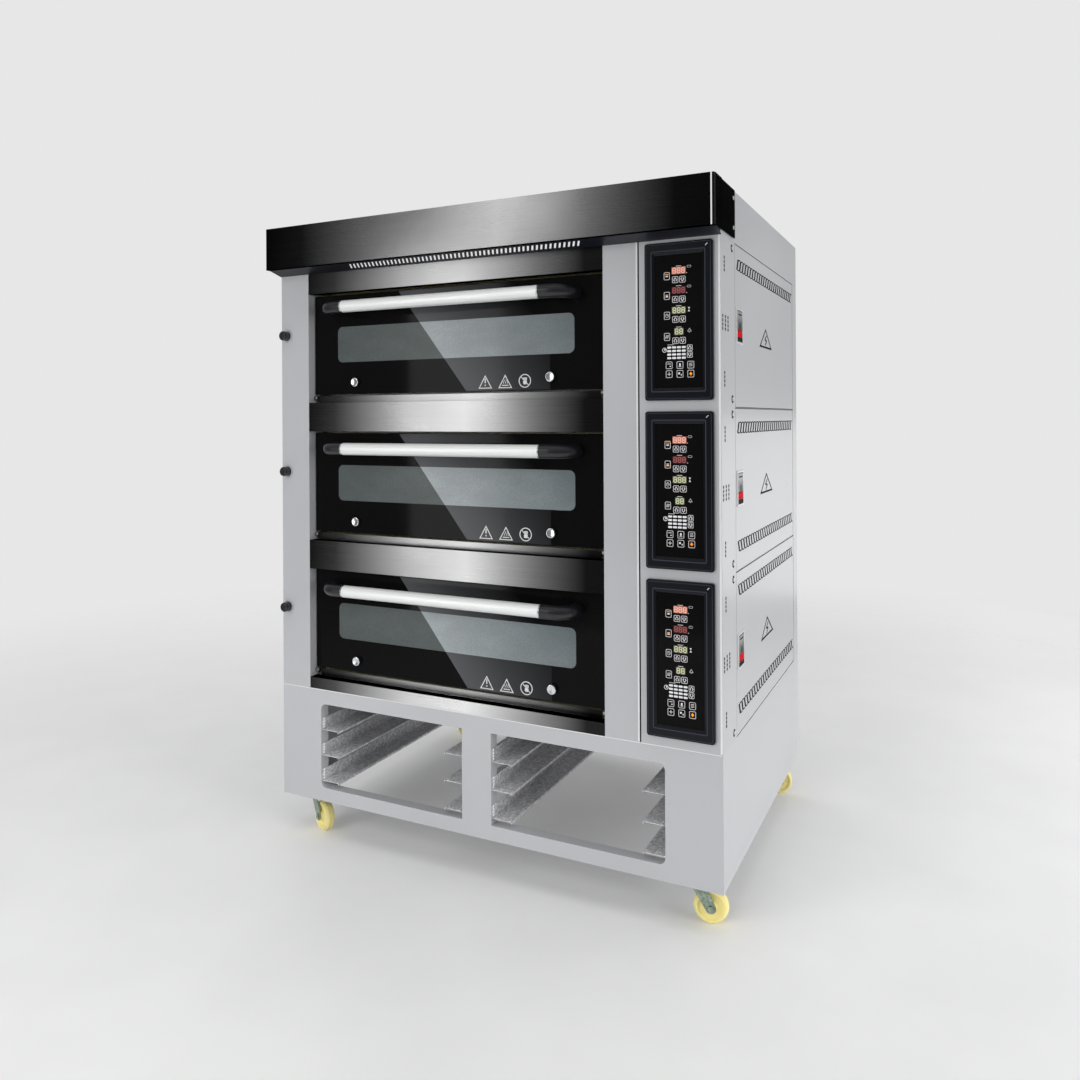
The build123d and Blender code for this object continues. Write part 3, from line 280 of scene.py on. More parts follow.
def moulded(name, colour, roughness, grain_size=900, depth=0.00004, coat=0.0, gloss=0.5):
    """Moulded plastic or lacquer with a fine grain."""
    material = new_finish(name, Coat_Weight=coat, Coat_Roughness=0.06, Specular_IOR_Level=gloss)
    grain = noise(material, (grain_size,) * 3, 3)
    patches = noise(material, (9, 9, 9), 2)
    colours = vary(material, patches, colour, (0.35, 0.86), (0.7, 1.12))
    rough = (roughness - 0.05, roughness + 0.08)
    return surface(material, colours, grain, rough, grain, depth, 0.0005)


def polished(name, colour, roughness=0.12, metal_share=1.0):
    """Polished or chromed metal with light handling marks."""
    material = new_finish(name, Metallic=metal_share)
    smears = noise(material, (60, 60, 60), 4)
    colours = vary(material, smears, colour, (0.35, 0.9), (0.7, 1.05))
    rough = (roughness - 0.04, roughness + 0.1)
    return surface(material, colours, smears, rough, smears, 0.00001, 0.0004)


def stone(name, colour):
    """Pressed refractory hearth plate."""
    material = new_finish(name, Metallic=0.0)
    grit = noise(material, (500, 500, 500), 6)
    stains = noise(material, (9, 9, 9), 4)
    mixed = maths(material, "MULTIPLY", grit, stains)
    colours = vary(material, mixed, colour, (0.1, 0.6), (0.45, 1.1))
    return surface(material, colours, grit, (0.75, 0.95), grit, 0.0004)


def wool(name, colour):
    """Mineral wool: matted fibres."""
    material = new_finish(name, Roughness=0.95)
    fibres = noise(material, (60, 900, 900), 6, (0.3, 0.2, 0.9))
    wire(material, Base_Color=vary(material, fibres, colour, (0.3, 0.7), (0.7, 1.1)))
    rough_up(material, fibres, 0.001)
    return material


def black_glass(name):
    """Back-enamelled black glass with faint dust on it."""
    material = new_finish(name, Specular_IOR_Level=0.06)
    dust = noise(material, (700, 700, 700), 5)
    smear = noise(material, (6, 6, 14), 3)
    colours = ramp(material, dust, [(0.45, 0.0035), (0.8, 0.012)])
    return surface(material, colours, smear, (0.03, 0.09), smear, 0.00002, 0.0005)


def painted_sheen_tone(material, centre_z, low_tone, high_tone, fade_x):
    """Painted reflection: tone that is highest at the diagonal's edge and fades towards +X."""
    rise = maths(material, "SUBTRACT", object_axis(material, "Z"), centre_z)
    lean = maths(material, "MULTIPLY", rise, DIAGONAL_RUN)
    from_edge = maths(material, "ADD", object_axis(material, "X"), lean)
    share = spread(material, from_edge, 0.0, 1.0, DIAGONAL_X, fade_x)
    pairs = list(zip(tint(low_tone), tint(high_tone)))[:3]
    middle = tuple(low + (high - low) * SHEEN_MIDDLE for low, high in pairs)
    return ramp(material, share, [(0.0, high_tone), (0.45, middle), (1.0, low_tone)])


def painted_sheen_glass(name, centre_z):
    """Black glass under a painted diagonal sheen, a painted reflection that fades away to the
    right.
    """
    material = new_finish(name, Specular_IOR_Level=0.06)
    dust = noise(material, (700, 700, 700), 5)
    colours = painted_sheen_tone(material, centre_z, 0.004, PAINTED_SHEEN_TONE, SHEEN_FADE_X)
    return surface(material, colours, dust, (0.05, 0.1), dust, 0.00001)


def frosted_window(name, centre_z, low_tone, high_tone):
    """Frosted oven window: grey-green and mottled, with a painted sheen that makes it lighter
    beside the diagonal.
    """
    material = new_finish(name, Specular_IOR_Level=0.2)
    mottle = noise(material, (330, 330, 330), 4)
    cloud = noise(material, (7, 7, 16), 3)
    tones = painted_sheen_tone(material, centre_z, low_tone, high_tone, WINDOW_FADE_X)
    grain = ramp(material, maths(material, "MULTIPLY", mottle, cloud), [(0.1, 0.74), (0.42, 1.0)])
    colours = multiply(material, tones, grain)
    return surface(material, colours, mottle, (0.16, 0.3), mottle, 0.00008)


def lit_print(name, colour, glow):
    """Screen print or display segment, slightly glowing if glow is set."""
    material = new_finish(name, Roughness=0.5, Emission_Strength=glow, Specular_IOR_Level=0.02)
    speck = noise(material, (2500, 2500, 2500), 2)
    tones = vary(material, speck, colour, (0.3, 0.88), (0.7, 1.0))
    wire(material, Base_Color=tones)
    if glow:
        wire(material, Emission_Color=tones)
    return material


# the painted diagonal sheen, a painted reflection on each door, about the glass's own centre
DOOR_LOW, DOOR_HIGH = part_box("door_glass_bottom")
GLASS_CENTRE_X = (DOOR_LOW.x + DOOR_HIGH.x) / 2
GLASS_HEIGHT = DOOR_HIGH.z - DOOR_LOW.z
DIAGONAL_TOP_X = GLASS_CENTRE_X - 0.155
DIAGONAL_LOW_X = GLASS_CENTRE_X + 0.055
DIAGONAL_RUN = (DIAGONAL_LOW_X - DIAGONAL_TOP_X) / GLASS_HEIGHT
DIAGONAL_X = (DIAGONAL_LOW_X + DIAGONAL_TOP_X) / 2
SHEEN_FADE_X = GLASS_CENTRE_X + 0.29
WINDOW_FADE_X = SHEEN_FADE_X + 0.12
PAINTED_SHEEN_TONE = (0.105, 0.108, 0.115)
SHEEN_MIDDLE = 0.42
SHEEN_MARGIN = 0.002

# painted reflection tones of the steel along X: (metres, grey)
FASCIA_REFLECTION_TONES = [(-0.53, 0.02), (-0.44, 0.06), (-0.21, 0.40)]
FASCIA_REFLECTION_TONES += [(-0.03, 0.52), (0.17, 0.18), (0.30, 0.014)]
CANOPY_REFLECTION_TONES = [(-0.63, 0.008), (-0.5, 0.02), (-0.2, 0.26)]
CANOPY_REFLECTION_TONES += [(0.1, 0.46), (0.34, 0.16), (0.54, 0.012)]
# heights between which the painted highlight lift of the steel strip under the lowest door fades
# out
BASE_STRIP_FADE = (0.4415, 0.4415 + 0.005)
# the hood's painted highlight, a glowing line on its front right edge;
# FORWARD is the greatest Y of the direction of a face that looks forward
FORWARD = -0.9
HOOD_EDGE_X = 0.6212
HOOD_EDGE_HALF = 0.0016
HOOD_EDGE_HIGHLIGHT_GLOW = 0.75

# maker, slot and the maker's values
FINISH_ROWS = [
    (painted_sheet, "body_paint", (0.50, 0.51, 0.53)),
    (painted_sheet, "stand_paint", (0.52, 0.53, 0.55)),
    # the fascia and canopy steel carry a painted reflection, painted shade by facing and painted
    # highlights
    (painted_reflection_steel, "fascia_steel", FASCIA_REFLECTION_TONES, 0.3, 0.05, 1.9),
    (hood_steel, "canopy_steel"),
    (moulded, "grille_steel", (0.010, 0.011, 0.018), 0.4, 500, 0.00002),
    (galvanised, "galvanised", (0.80, 0.80, 0.82), 0.2),
    (galvanised, "zinc", (0.36, 0.44, 0.36), 0.5),
    (moulded, "wheel", (1.0, 0.88, 0.36), 0.36, 300, 0.0001),
    (brushed_metal, "steel_inner", (0.34, 0.33, 0.32), STEEL_GRAIN_Z, 0.4),
    (brushed_metal, "shelf_steel", (0.40, 0.40, 0.42), STEEL_GRAIN_X, 0.4),
    (stone, "hearth_stone", (0.46, 0.40, 0.33)),
    (moulded, "element", (0.10, 0.09, 0.085), 0.5, 500, 0.0002),
    (wool, "wool", (0.62, 0.55, 0.30)),
    (polished, "screw", (0.88, 0.90, 0.92), 0.3, 0.35),
    (brushed_metal, "flue", (0.52, 0.52, 0.53), STEEL_GRAIN_Y, 0.3),
    (moulded, "gland", (0.02, 0.02, 0.02), 0.5, 500, 0.0001),
    (moulded, "bezel", (0.0020, 0.0024, 0.0050), 0.3, 700, 0.00001, 0.0, 0.3),
    (black_glass, "panel_glass"),
    (moulded, "board", (0.02, 0.14, 0.06), 0.4, 300, 0.0001),
    (black_glass, "door_glass"),
    (brushed_metal, "door_pan", (0.40, 0.40, 0.41), STEEL_GRAIN_X, 0.34),
    (satin_aluminium, "handle_tube", (0.92, 0.94, 0.93)),
    (moulded, "fittings", (0.008, 0.008, 0.011), 0.3, 800, 0.00003, 0.3),
    (moulded, "knob", (0.009, 0.009, 0.01), 0.28, 800, 0.00003, 0.4),
    (polished, "lock_case", (0.72, 0.72, 0.73), 0.3, 0.3),
    (moulded, "lock_paddle", (0.13, 0.128, 0.125), 0.3, 600, 0.00002, 0.3),
    (moulded, "lock_button", (0.60, 0.004, 0.012), 0.55, 700, 0.00002, 0.0, 0.03),
]
FINISHES = {slot: maker(slot, *values) for maker, slot, *values in FINISH_ROWS}

for part in frame["record"]["subparts"]:
    node_object = frame["nodes"][part["node"]]
    finish = FINISHES[part["material_slot"]]
    if not node_object.material_slots:
        node_object.data.materials.append(finish)
    for material_slot in node_object.material_slots:
        material_slot.material = finish


# ---------------- raised flat shapes
def bridge(mesh, first, second):
    """Quads between two loops with the same number of vertices."""
    for k in range(len(first)):
        after = (k + 1) % len(first)
        mesh.faces.new((first[k], first[after], second[after], second[k]))


class Relief:
    """Flat shapes drawn on a plane and raised into one thin solid mesh."""

    def __init__(self, origin, right, up, rise):
        self.origin = Vector(origin)
        self.right = Vector(right)
        self.up = Vector(up)
        self.out = self.right.cross(self.up)
        self.rise = rise
        self.mesh = bmesh.new()

    def corner(self, u, v, level):
        """A vertex at (u, v) on the plane or on the raised face."""
        point = self.origin + self.right * u + self.up * v + self.out * (self.rise * level)
        return self.mesh.verts.new(point)

    def shape(self, outline):
        """One filled convex outline."""
        low = [self.corner(u, v, 0) for u, v in outline]
        high = [self.corner(u, v, 1) for u, v in outline]
        self.mesh.faces.new(high)
        self.mesh.faces.new(low[::-1])
        bridge(self.mesh, low, high)

    def ring(self, outer, inner):
        """The band between two outlines with the same number of points."""
        outer_low, outer_high, inner_low, inner_high = (
            [self.corner(u, v, level) for u, v in line]
            for line in (outer, inner)
            for level in (0, 1)
        )
        loops = (outer_high, inner_high, inner_low, outer_low, outer_high)
        for first, second in zip(loops, loops[1:]):
            bridge(self.mesh, first, second)

    def bar(self, start, end, width):
        """A straight stroke."""
        a, b = Vector(start), Vector(end)
        side = (b - a).orthogonal().normalized() * width / 2
        self.shape([tuple(a - side), tuple(b - side), tuple(b + side), tuple(a + side)])

    def make(self, name, material, body, slot):
        """The finished piece, riding on a body."""
        bmesh.ops.recalc_face_normals(self.mesh, faces=self.mesh.faces)
        return finish_piece(self.mesh, name, material, body)


def link(name, data):
    """A new object in the scene, made from its data."""
    made = bpy.data.objects.new(name, data)
    bpy.context.scene.collection.objects.link(made)
    return made


def link_mesh(mesh, name, material):
    """A bmesh as an object with one material."""
    data = bpy.data.meshes.new(name)
    mesh.to_mesh(data)
    mesh.free()
    data.materials.append(material)
    return link(name, data)


def finish_piece(mesh, name, material, body, smooth=False):
    """A bmesh as an object with one material that rides on a body."""
    made = link_mesh(mesh, name, material)
    if smooth:
        made.data.shade_smooth()
    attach(made, body)
    return made


def circle(u, v, radius, count=24):
    """A round outline."""
    turns = [2 * math.pi * k / count for k in range(count)]
    return [(u + radius * math.cos(a), v + radius * math.sin(a)) for a in turns]


def rounded(u, v, width, height, radius, steps=5):
    """A rectangle with round corners."""
    points = []
    for k, (side_u, side_v) in enumerate(((1, 1), (-1, 1), (-1, -1), (1, -1))):
        centre_u = u + side_u * (width / 2 - radius)
        centre_v = v + side_v * (height / 2 - radius)
        for step in range(steps + 1):
            angle = math.pi / 2 * (k + step / steps)
            across, rise = radius * math.cos(angle), radius * math.sin(angle)
            points.append((centre_u + across, centre_v + rise))
    return points


def triangle(u, v, half_width, height):
    """A triangle standing on its base, centred on its mid height."""
    return [(u - half_width, v - height / 2), (u + half_width, v - height / 2), (u, v + height / 2)]


def shrunk(outline, distance):
    """A convex outline drawn inwards by a distance."""
    count = len(outline)
    made = []
    for k in range(count):
        before, here, after = (Vector(outline[(k + d) % count]) for d in (-1, 0, 1))
        first, second = (here - before).normalized(), (after - here).normalized()
        normal = Vector((-first.y - second.y, first.x + second.x)).normalized()
        reach = distance / max(0.2, normal.dot(Vector((-first.y, first.x))))
        made.append(tuple(here + normal * reach))
    return made


def cut(outline, keep):
    """The part of a convex outline where keep(u, v) is positive."""
    made = []
    for k, here in enumerate(outline):
        after = outline[(k + 1) % len(outline)]
        a, b = keep(*here), keep(*after)
        if a >= 0:
            made.append(here)
        if a * b < 0:
            share = a / (a - b)
            made.append(tuple(p + (q - p) * share for p, q in zip(here, after)))
    return made


PRINT_RISE = 0.0002


def front_relief(y, rise=PRINT_RISE, x=0):
    """An empty relief on a plane that looks forward."""
    return Relief((x, y, 0), (1, 0, 0), (0, 0, 1), rise)


def side_relief(x, rise=PRINT_RISE):
    """An empty relief on a plane that looks to the right."""
    return Relief((x, 0, 0), (0, 1, 0), (0, 0, 1), rise)


# ---------------- baking doors
WINDOW_W = 0.710
WINDOW_H = 0.097
WINDOW_CORNER = 0.015
# which side of the diagonal, and the tones far from it and beside it; the tones beside it are the
# painted sheen
WINDOW_SIDES = {
    "left": (-1, (0.085, 0.10, 0.098), (0.105, 0.122, 0.12)),
    "right": (1, (0.15, 0.18, 0.19), (0.42, 0.46, 0.47)),
}
SIGN_X = (GLASS_CENTRE_X + 0.109, GLASS_CENTRE_X + 0.166, GLASS_CENTRE_X + 0.221)
SIGN_RISE = 0.024
SIGN_H = 0.034
SIGN_HALF_W = SIGN_H * 0.58
SIGN_LINE = 0.0024
CAP_X = 0.293
CAP_RISE = 0.032
CAP_FROM_GLASS = 0.009
CAP_R = 0.0118
# (along, radius): a flat rim round a shallow dish
CAP_PROFILE = [(-0.004, CAP_R), (0.0006, CAP_R), (0.0012, CAP_R - 0.0008), (0.0012, CAP_R - 0.002)]
CAP_PROFILE += [(0.0003, 0.004), (0.0003, 0.0012), (0.0009, 0.0006)]
# (along, height over the tube)
COLLAR_STEPS = [(-0.0004, 0.0004), (0.0, 0.0008), (0.003, 0.0008), (0.0036, 0.0002)]

SIGN_WHITE = lit_print("sign_white", (0.80, 0.80, 0.80), 0.0)
CAP_STEEL = polished("cap_steel", (0.78, 0.80, 0.83), 0.14)
COLLAR_STEEL = polished("collar_steel", (0.70, 0.71, 0.72), 0.18)


def diagonal_side(centre_z, u, v):
    """Positive to the right of the door's diagonal."""
    return u - (DIAGONAL_X - (v - centre_z) * DIAGONAL_RUN)


def door_prints(deck):
    """Window, painted sheen and signs on the face of one door."""
    low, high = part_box(f"door_glass_{deck}")
    body = f"door_{deck}"
    centre_z = (low.z + high.z) / 2

    left, base, top = low.x + SHEEN_MARGIN, low.z + SHEEN_MARGIN, high.z - SHEEN_MARGIN
    sheet = [(left, base), (SHEEN_FADE_X, base), (SHEEN_FADE_X, top), (left, top)]
    sheen = front_relief(low.y)
    sheen.shape(cut(sheet, lambda u, v: diagonal_side(centre_z, u, v)))
    sheen.make(f"sheen_{deck}", painted_sheen_glass(f"sheen_{deck}", centre_z), body, "door_glass")

    window = rounded(GLASS_CENTRE_X, centre_z, WINDOW_W, WINDOW_H, WINDOW_CORNER)
    for side, (sign, *tones) in WINDOW_SIDES.items():
        pane = front_relief(low.y, 2 * PRINT_RISE)
        pane.shape(cut(window, lambda u, v: sign * diagonal_side(centre_z, u, v)))
        glass = frosted_window(f"window_{side}_{deck}", centre_z, *tones)
        pane.make(f"window_{side}_{deck}", glass, body, "door_glass")

    signs = front_relief(low.y, 2 * PRINT_RISE)
    sign_z = low.z + SIGN_RISE
    for sign_x in SIGN_X[:2]:
        outline = triangle(sign_x, sign_z, SIGN_HALF_W, SIGN_H)
        signs.ring(outline, shrunk(outline, SIGN_LINE))
    bang_x, heat_x, stop_x = SIGN_X
    signs.bar((bang_x, sign_z - 0.0035), (bang_x, sign_z + 0.008), 0.0032)
    signs.bar((bang_x, sign_z - 0.0105), (bang_x, sign_z - 0.0072), 0.0032)
    signs.bar((heat_x - 0.009, sign_z - 0.010), (heat_x + 0.009, sign_z - 0.010), 0.0024)
    for shift in (-0.0055, 0, 0.0055):
        foot_x, foot_z = heat_x + shift, sign_z - 0.006
        wave = [(foot_x + 0.0016 * math.sin(k * 1.6), foot_z + k * 0.0028) for k in range(5)]
        for start, end in zip(wave, wave[1:]):
            signs.bar(start, end, 0.0015)
    signs.ring(circle(stop_x, sign_z, SIGN_H / 2), circle(stop_x, sign_z, SIGN_H / 2 - SIGN_LINE))
    signs.shape(rounded(stop_x + 0.0005, sign_z - 0.004, 0.0105, 0.0095, 0.003))
    for k in range(4):
        finger_x = stop_x - 0.0034 + k * 0.0027
        length = 0.009 - 0.001 * abs(k - 1.5)
        signs.shape(rounded(finger_x, sign_z + 0.0045, 0.0021, length, 0.001, 3))
    signs.bar((stop_x - 0.0115, sign_z + 0.0115), (stop_x - 0.005, sign_z + 0.004), 0.0022)
    signs.bar((stop_x + 0.006, sign_z - 0.0065), (stop_x + 0.0115, sign_z - 0.0115), 0.0022)
    signs.make(f"door_signs_{deck}", SIGN_WHITE, body, "door_glass")


def turned(profile, axis_point, axis, name, material, body, count=48):
    """A solid of revolution; profile is (along, radius) about an axis through a point."""
    mesh = bmesh.new()
    toward = Vector(axis).normalized()
    across = toward.orthogonal().normalized()
    upward = toward.cross(across)
    rings = []
    for along, radius in profile:
        centre = Vector(axis_point) + toward * along
        spokes = [across * u + upward * v for u, v in circle(0, 0, radius, count)]
        rings.append([mesh.verts.new(centre + spoke) for spoke in spokes])
    for lower, upper in zip(rings, rings[1:]):
        bridge(mesh, lower, upper)
    mesh.faces.new(rings[0][::-1])
    mesh.faces.new(rings[-1])
    bmesh.ops.recalc_face_normals(mesh, faces=mesh.faces)
    made = finish_piece(mesh, name, material, body, smooth=True)
    made.modifiers.new("edges", "EDGE_SPLIT").split_angle = math.radians(40)
    return made


def door_trim(deck):
    """Dished steel caps on the two bumpers, and a collar at each end of the grip."""
    body = f"door_{deck}"
    low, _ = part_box(f"door_glass_{deck}")
    tube_low, tube_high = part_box(f"door_handle_{deck}")
    for side, offset in (("left", -CAP_X), ("right", CAP_X)):
        point = (GLASS_CENTRE_X + offset, low.y - CAP_FROM_GLASS, low.z + CAP_RISE)
        name = f"bumper_cap_{side}_{deck}"
        turned(CAP_PROFILE, point, (0, -1, 0), name, CAP_STEEL, body)
    tube_y, tube_z = (tube_low.y + tube_high.y) / 2, (tube_low.z + tube_high.z) / 2
    tube_r = (tube_high.z - tube_low.z) / 2
    profile = [(along, tube_r + over) for along, over in COLLAR_STEPS]
    for side, x, toward in (("left", tube_low.x, 1), ("right", tube_high.x, -1)):
        name = f"grip_collar_{side}_{deck}"
        point = (x, tube_y, tube_z)
        turned(profile, point, (toward, 0, 0), name, COLLAR_STEEL, body)


for deck in DECKS:
    door_prints(deck)
    door_trim(deck)


# ---------------- control panels
PANEL_LOW, PANEL_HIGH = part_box("control_glasses")
BEZEL_FRONT_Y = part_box("control_bezels")[0].y
PANEL_X = (PANEL_LOW.x + PANEL_HIGH.x) / 2
PANEL_HALF_H = 0.1487
PANEL_Z = [PANEL_LOW.z + PANEL_HALF_H]
PANEL_Z += [(PANEL_LOW.z + PANEL_HIGH.z) / 2, PANEL_HIGH.z - PANEL_HALF_H]
# one unit's layout, in millimetres about the panel's centre; displays are (v, digits, colour)
DISPLAYS = [(112.9, 3, "red"), (68.8, 3, "dim"), (24.2, 3, "green"), (-23.3, 2, "green")]
DISPLAY_U = 0.6
DISPLAY_W = 32.0
DISPLAY_H = 15.5
DIGIT_PITCH = 10.2
KEY_SIZE = (14.2, 14.6)
KEY_CORNER = 2.6
MODE_KEY_SIZE = (13.6, 17.2)
SIDE_KEY_SIZE = (12.6, 14.0)
SIDE_KEY_U = 25.4
FOOT_KEY_SIZE = (15.2, 16.4)
STEP_KEY_U = (-7.4, 9.2)
STEP_KEY_DROP = 20.2
MODE_KEY_U = -26.9
MODE_KEY_DROP = 11.0
KEY_LINE = 1.1
PAD_COLUMNS = (-22.0, -10.8, 0.4, 11.6)
PAD_ROWS = (-58.5, -66.4, -74.3, -82.2)
FOOT_COLUMNS = (-22.4, 2.7, 27.5)
FOOT_ROWS = (-98.2, -118.1)

PRINTS = {
    "white": lit_print("panel_white", (0.78, 0.78, 0.80), 0.15),
    "grey": lit_print("panel_grey", (0.72, 0.70, 0.71), 0.1),
    "orange": lit_print("panel_orange", (0.85, 0.28, 0.03), 0.6),
    "red_field": lit_print("red_field", (0.40, 0.16, 0.12), 0.5),
    "red_light": lit_print("red_light", (0.72, 0.38, 0.31), 0.6),
    "dim_field": lit_print("dim_field", (0.07, 0.020, 0.020), 0.4),
    "dim_light": lit_print("dim_light", (0.26, 0.085, 0.085), 0.6),
    "green_field": lit_print("green_field", (0.14, 0.11, 0.085), 0.4),
    "green_light": lit_print("green_light", (0.42, 0.50, 0.30), 0.7),
}


class PanelPrint:
    """Collects each unit's print by colour; sizes are in millimetres."""

    def __init__(self):
        self.layers = {}
        self.centre_z = 0.0
        self.spot = (0, 0)

    def layer(self, colour):
        """The relief that holds one colour."""
        if colour not in self.layers:
            rise = PRINT_RISE * (2 if colour.endswith("light") else 1)
            self.layers[colour] = front_relief(PANEL_LOW.y, rise, PANEL_X)
        return self.layers[colour]

    def moved(self, outline):
        """An outline from millimetres about the spot on the unit to metres."""
        spot_u, spot_v = self.spot
        return [((u + spot_u) * MM, (v + spot_v) * MM + self.centre_z) for u, v in outline]

    def shape(self, colour, outline):
        """One filled outline."""
        self.layer(colour).shape(self.moved(outline))

    def ring(self, colour, outline, line):
        """A frame, line wide, inside an outline."""
        self.layer(colour).ring(self.moved(outline), self.moved(shrunk(outline, line)))

    def bar(self, colour, start, end, width):
        """A straight stroke."""
        first, second = self.moved([start, end])
        self.layer(colour).bar(first, second, width * MM)

    def key(self, u, v, size=KEY_SIZE):
        """A touch key's printed frame."""
        self.ring("grey", rounded(u, v, *size, KEY_CORNER, 4), KEY_LINE)

    def glyph(self, u, v, strokes):
        """A pictogram whose strokes are (method, colour, values) about a spot."""
        self.spot = (u, v)
        for kind, *values in strokes:
            getattr(self, kind)(*values)
        self.spot = (0, 0)

    def arrow(self, u, v, way):
        """A fat arrow that points up or down."""
        tip, neck, foot = 4.6 * way, -1.6 * way, -4.4 * way
        for side in (-1, 1):
            head = ("bar", "white", (0, tip), (4.0 * side, neck), 1.3)
            barb = ("bar", "white", (3.6 * side, neck), (1.6 * side, neck), 1.2)
            shaft = ("bar", "white", (1.9 * side, neck), (1.9 * side, foot), 1.1)
            self.glyph(u, v, [head, barb, shaft])


# a digit's strokes: clockwise from the top, then the middle one
SEGMENTS = [
    ((-2.4, 5.0), (2.4, 5.0)),
    ((3.0, 4.5), (3.0, 0.5)),
    ((3.0, -0.5), (3.0, -4.5)),
    ((-2.4, -5.0), (2.4, -5.0)),
    ((-3.0, -0.5), (-3.0, -4.5)),
    ((-3.0, 4.5), (-3.0, 0.5)),
    ((-2.4, 0.0), (2.4, 0.0)),
]
SEGMENT_STRETCH = (1.05, 1.12)
SEGMENT_W = 1.9


def display(printed, v, count, colour):
    """A seven-segment display: a dim field with every segment lit."""
    width = DISPLAY_W * count / 3
    printed.shape(f"{colour}_field", rounded(DISPLAY_U, v, width, DISPLAY_H, 0.8, 2))
    wide, tall = SEGMENT_STRETCH
    for k in range(count):
        u = DISPLAY_U + (k - (count - 1) / 2) * DIGIT_PITCH
        for stroke in SEGMENTS:
            ends = [(u + along * wide, v + rise * tall) for along, rise in stroke]
            printed.bar(f"{colour}_light", *ends, SEGMENT_W)


# strokes of the pictograms, in millimetres about the key's centre
PILL = ("shape", "white", rounded(0, -1.2, 5.5, 1.8, 0.8, 3))
MODE_GLYPHS = [
    [("bar", "orange", (-4, 4), (4, 4), 1.4), ("bar", "grey", (-3, 0.5), (3, 0.5), 1.2), PILL],
    [("bar", "grey", (-3, 1.5), (3, 1.5), 1.2), ("bar", "orange", (-4, -3), (4, -3), 1.4), PILL],
    [
        ("ring", "grey", circle(0, 0, 4.2, 20), 0.9),
        ("bar", "white", (0, 0), (0, 2.8), 0.9),
        ("bar", "white", (0, 0), (2.2, 0), 0.9),
    ],
    [("bar", "white", (lean - 1, -3.5), (lean + 1, 3.8), 1.1) for lean in (-2.6, 0, 2.6)],
]
FOOT_GLYPHS = [
    [("bar", "white", (-4, 3), (4, 3), 1.2), ("bar", "white", (1, -2.5), (4, -2.5), 2.2)],
    [
        ("shape", "white", rounded(0, 0.6, 3.8, 6.4, 1.8, 4)),
        ("bar", "white", (-3.2, -3.6), (3.2, -3.6), 1.1),
    ],
    [("bar", "white", (-3.8, rise), (3.8, rise + 0.8), 1.0) for rise in (3, 0, -3)],
    [("bar", "white", (-4, 0), (4, 0), 1.2), ("bar", "white", (0, -4), (0, 4), 1.2)],
    [
        ("shape", "white", rounded(-2, 1.2, 4.4, 4.4, 1.6, 4)),
        ("shape", "white", rounded(3, -2, 2.4, 3.4, 1.0, 3)),
    ],
    [("shape", "orange", [(-3.6, 0), (0, -4.4), (3.6, 0), (0, 4.4)])],
]


def print_unit(printed):
    """Everything on one control unit's glass."""
    for (v, *setup), glyph in zip(DISPLAYS, MODE_GLYPHS):
        display(printed, v, *setup)
        printed.bar("grey", (-5.5, v + DISPLAY_H / 2 + 2.2), (6.5, v + DISPLAY_H / 2 + 2.2), 1.1)
        for u, way in zip(STEP_KEY_U, (1, -1)):
            printed.key(u, v - STEP_KEY_DROP)
            printed.arrow(u, v - STEP_KEY_DROP, way)
        printed.key(MODE_KEY_U, v - MODE_KEY_DROP, MODE_KEY_SIZE)
        printed.glyph(MODE_KEY_U, v - MODE_KEY_DROP, glyph)
    (first_v, second_v, glass_v, bell_v) = (v for v, *setup in DISPLAYS)
    for v in (first_v, second_v):
        printed.ring("grey", rounded(24.5, v + 7.5, 9.0, 4.8, 1.6, 3), 0.6)
        printed.shape("white", circle(19.0, v - 6.5, 0.9, 10))
    printed.shape("white", [(24.0, glass_v + 1.0), (26.4, glass_v + 5.5), (21.6, glass_v + 5.5)])
    printed.shape("white", triangle(24.0, glass_v - 1.6, 2.4, 4.6))
    bell_v += 3
    printed.ring("grey", triangle(25.0, bell_v, 4.6, 7.6), 0.7)
    printed.bar("grey", (23.4, bell_v - 5.4), (26.6, bell_v - 5.4), 0.8)

    for u in PAD_COLUMNS:
        for v in PAD_ROWS:
            printed.shape("white", rounded(u, v, 9.2, 4.6, 1.4, 3))
    printed.bar("grey", (-26.0, -52.5), (-12.0, -52.5), 1.0)
    printed.ring("white", circle(-33.0, -64.0, 5.2, 24), 1.2)
    printed.shape("white", circle(-32.0, -63.0, 1.9, 16))
    for v, way in ((-60.5, 1), (-75.5, -1)):
        printed.key(SIDE_KEY_U, v, SIDE_KEY_SIZE)
        printed.arrow(SIDE_KEY_U, v, way)
    for row, v in enumerate(FOOT_ROWS):
        for column, u in enumerate(FOOT_COLUMNS):
            printed.key(u, v, FOOT_KEY_SIZE)
            printed.glyph(u, v, FOOT_GLYPHS[row * 3 + column])


panel_print = PanelPrint()
for unit_z in PANEL_Z:
    panel_print.centre_z = unit_z
    print_unit(panel_print)
for colour, relief in panel_print.layers.items():
    relief.make(f"panel_print_{colour}", PRINTS[colour], "root", "panel_glass")


# ---------------- service doors
HAZARD_Y = 0.020
HAZARD_RISE = 0.184
HAZARD_HALF_W = 0.076
HAZARD_H = 0.052
HAZARD_LINE = 0.0050
HAZARD_INK = lit_print("hazard_ink", (0.012, 0.012, 0.014), 0.0)

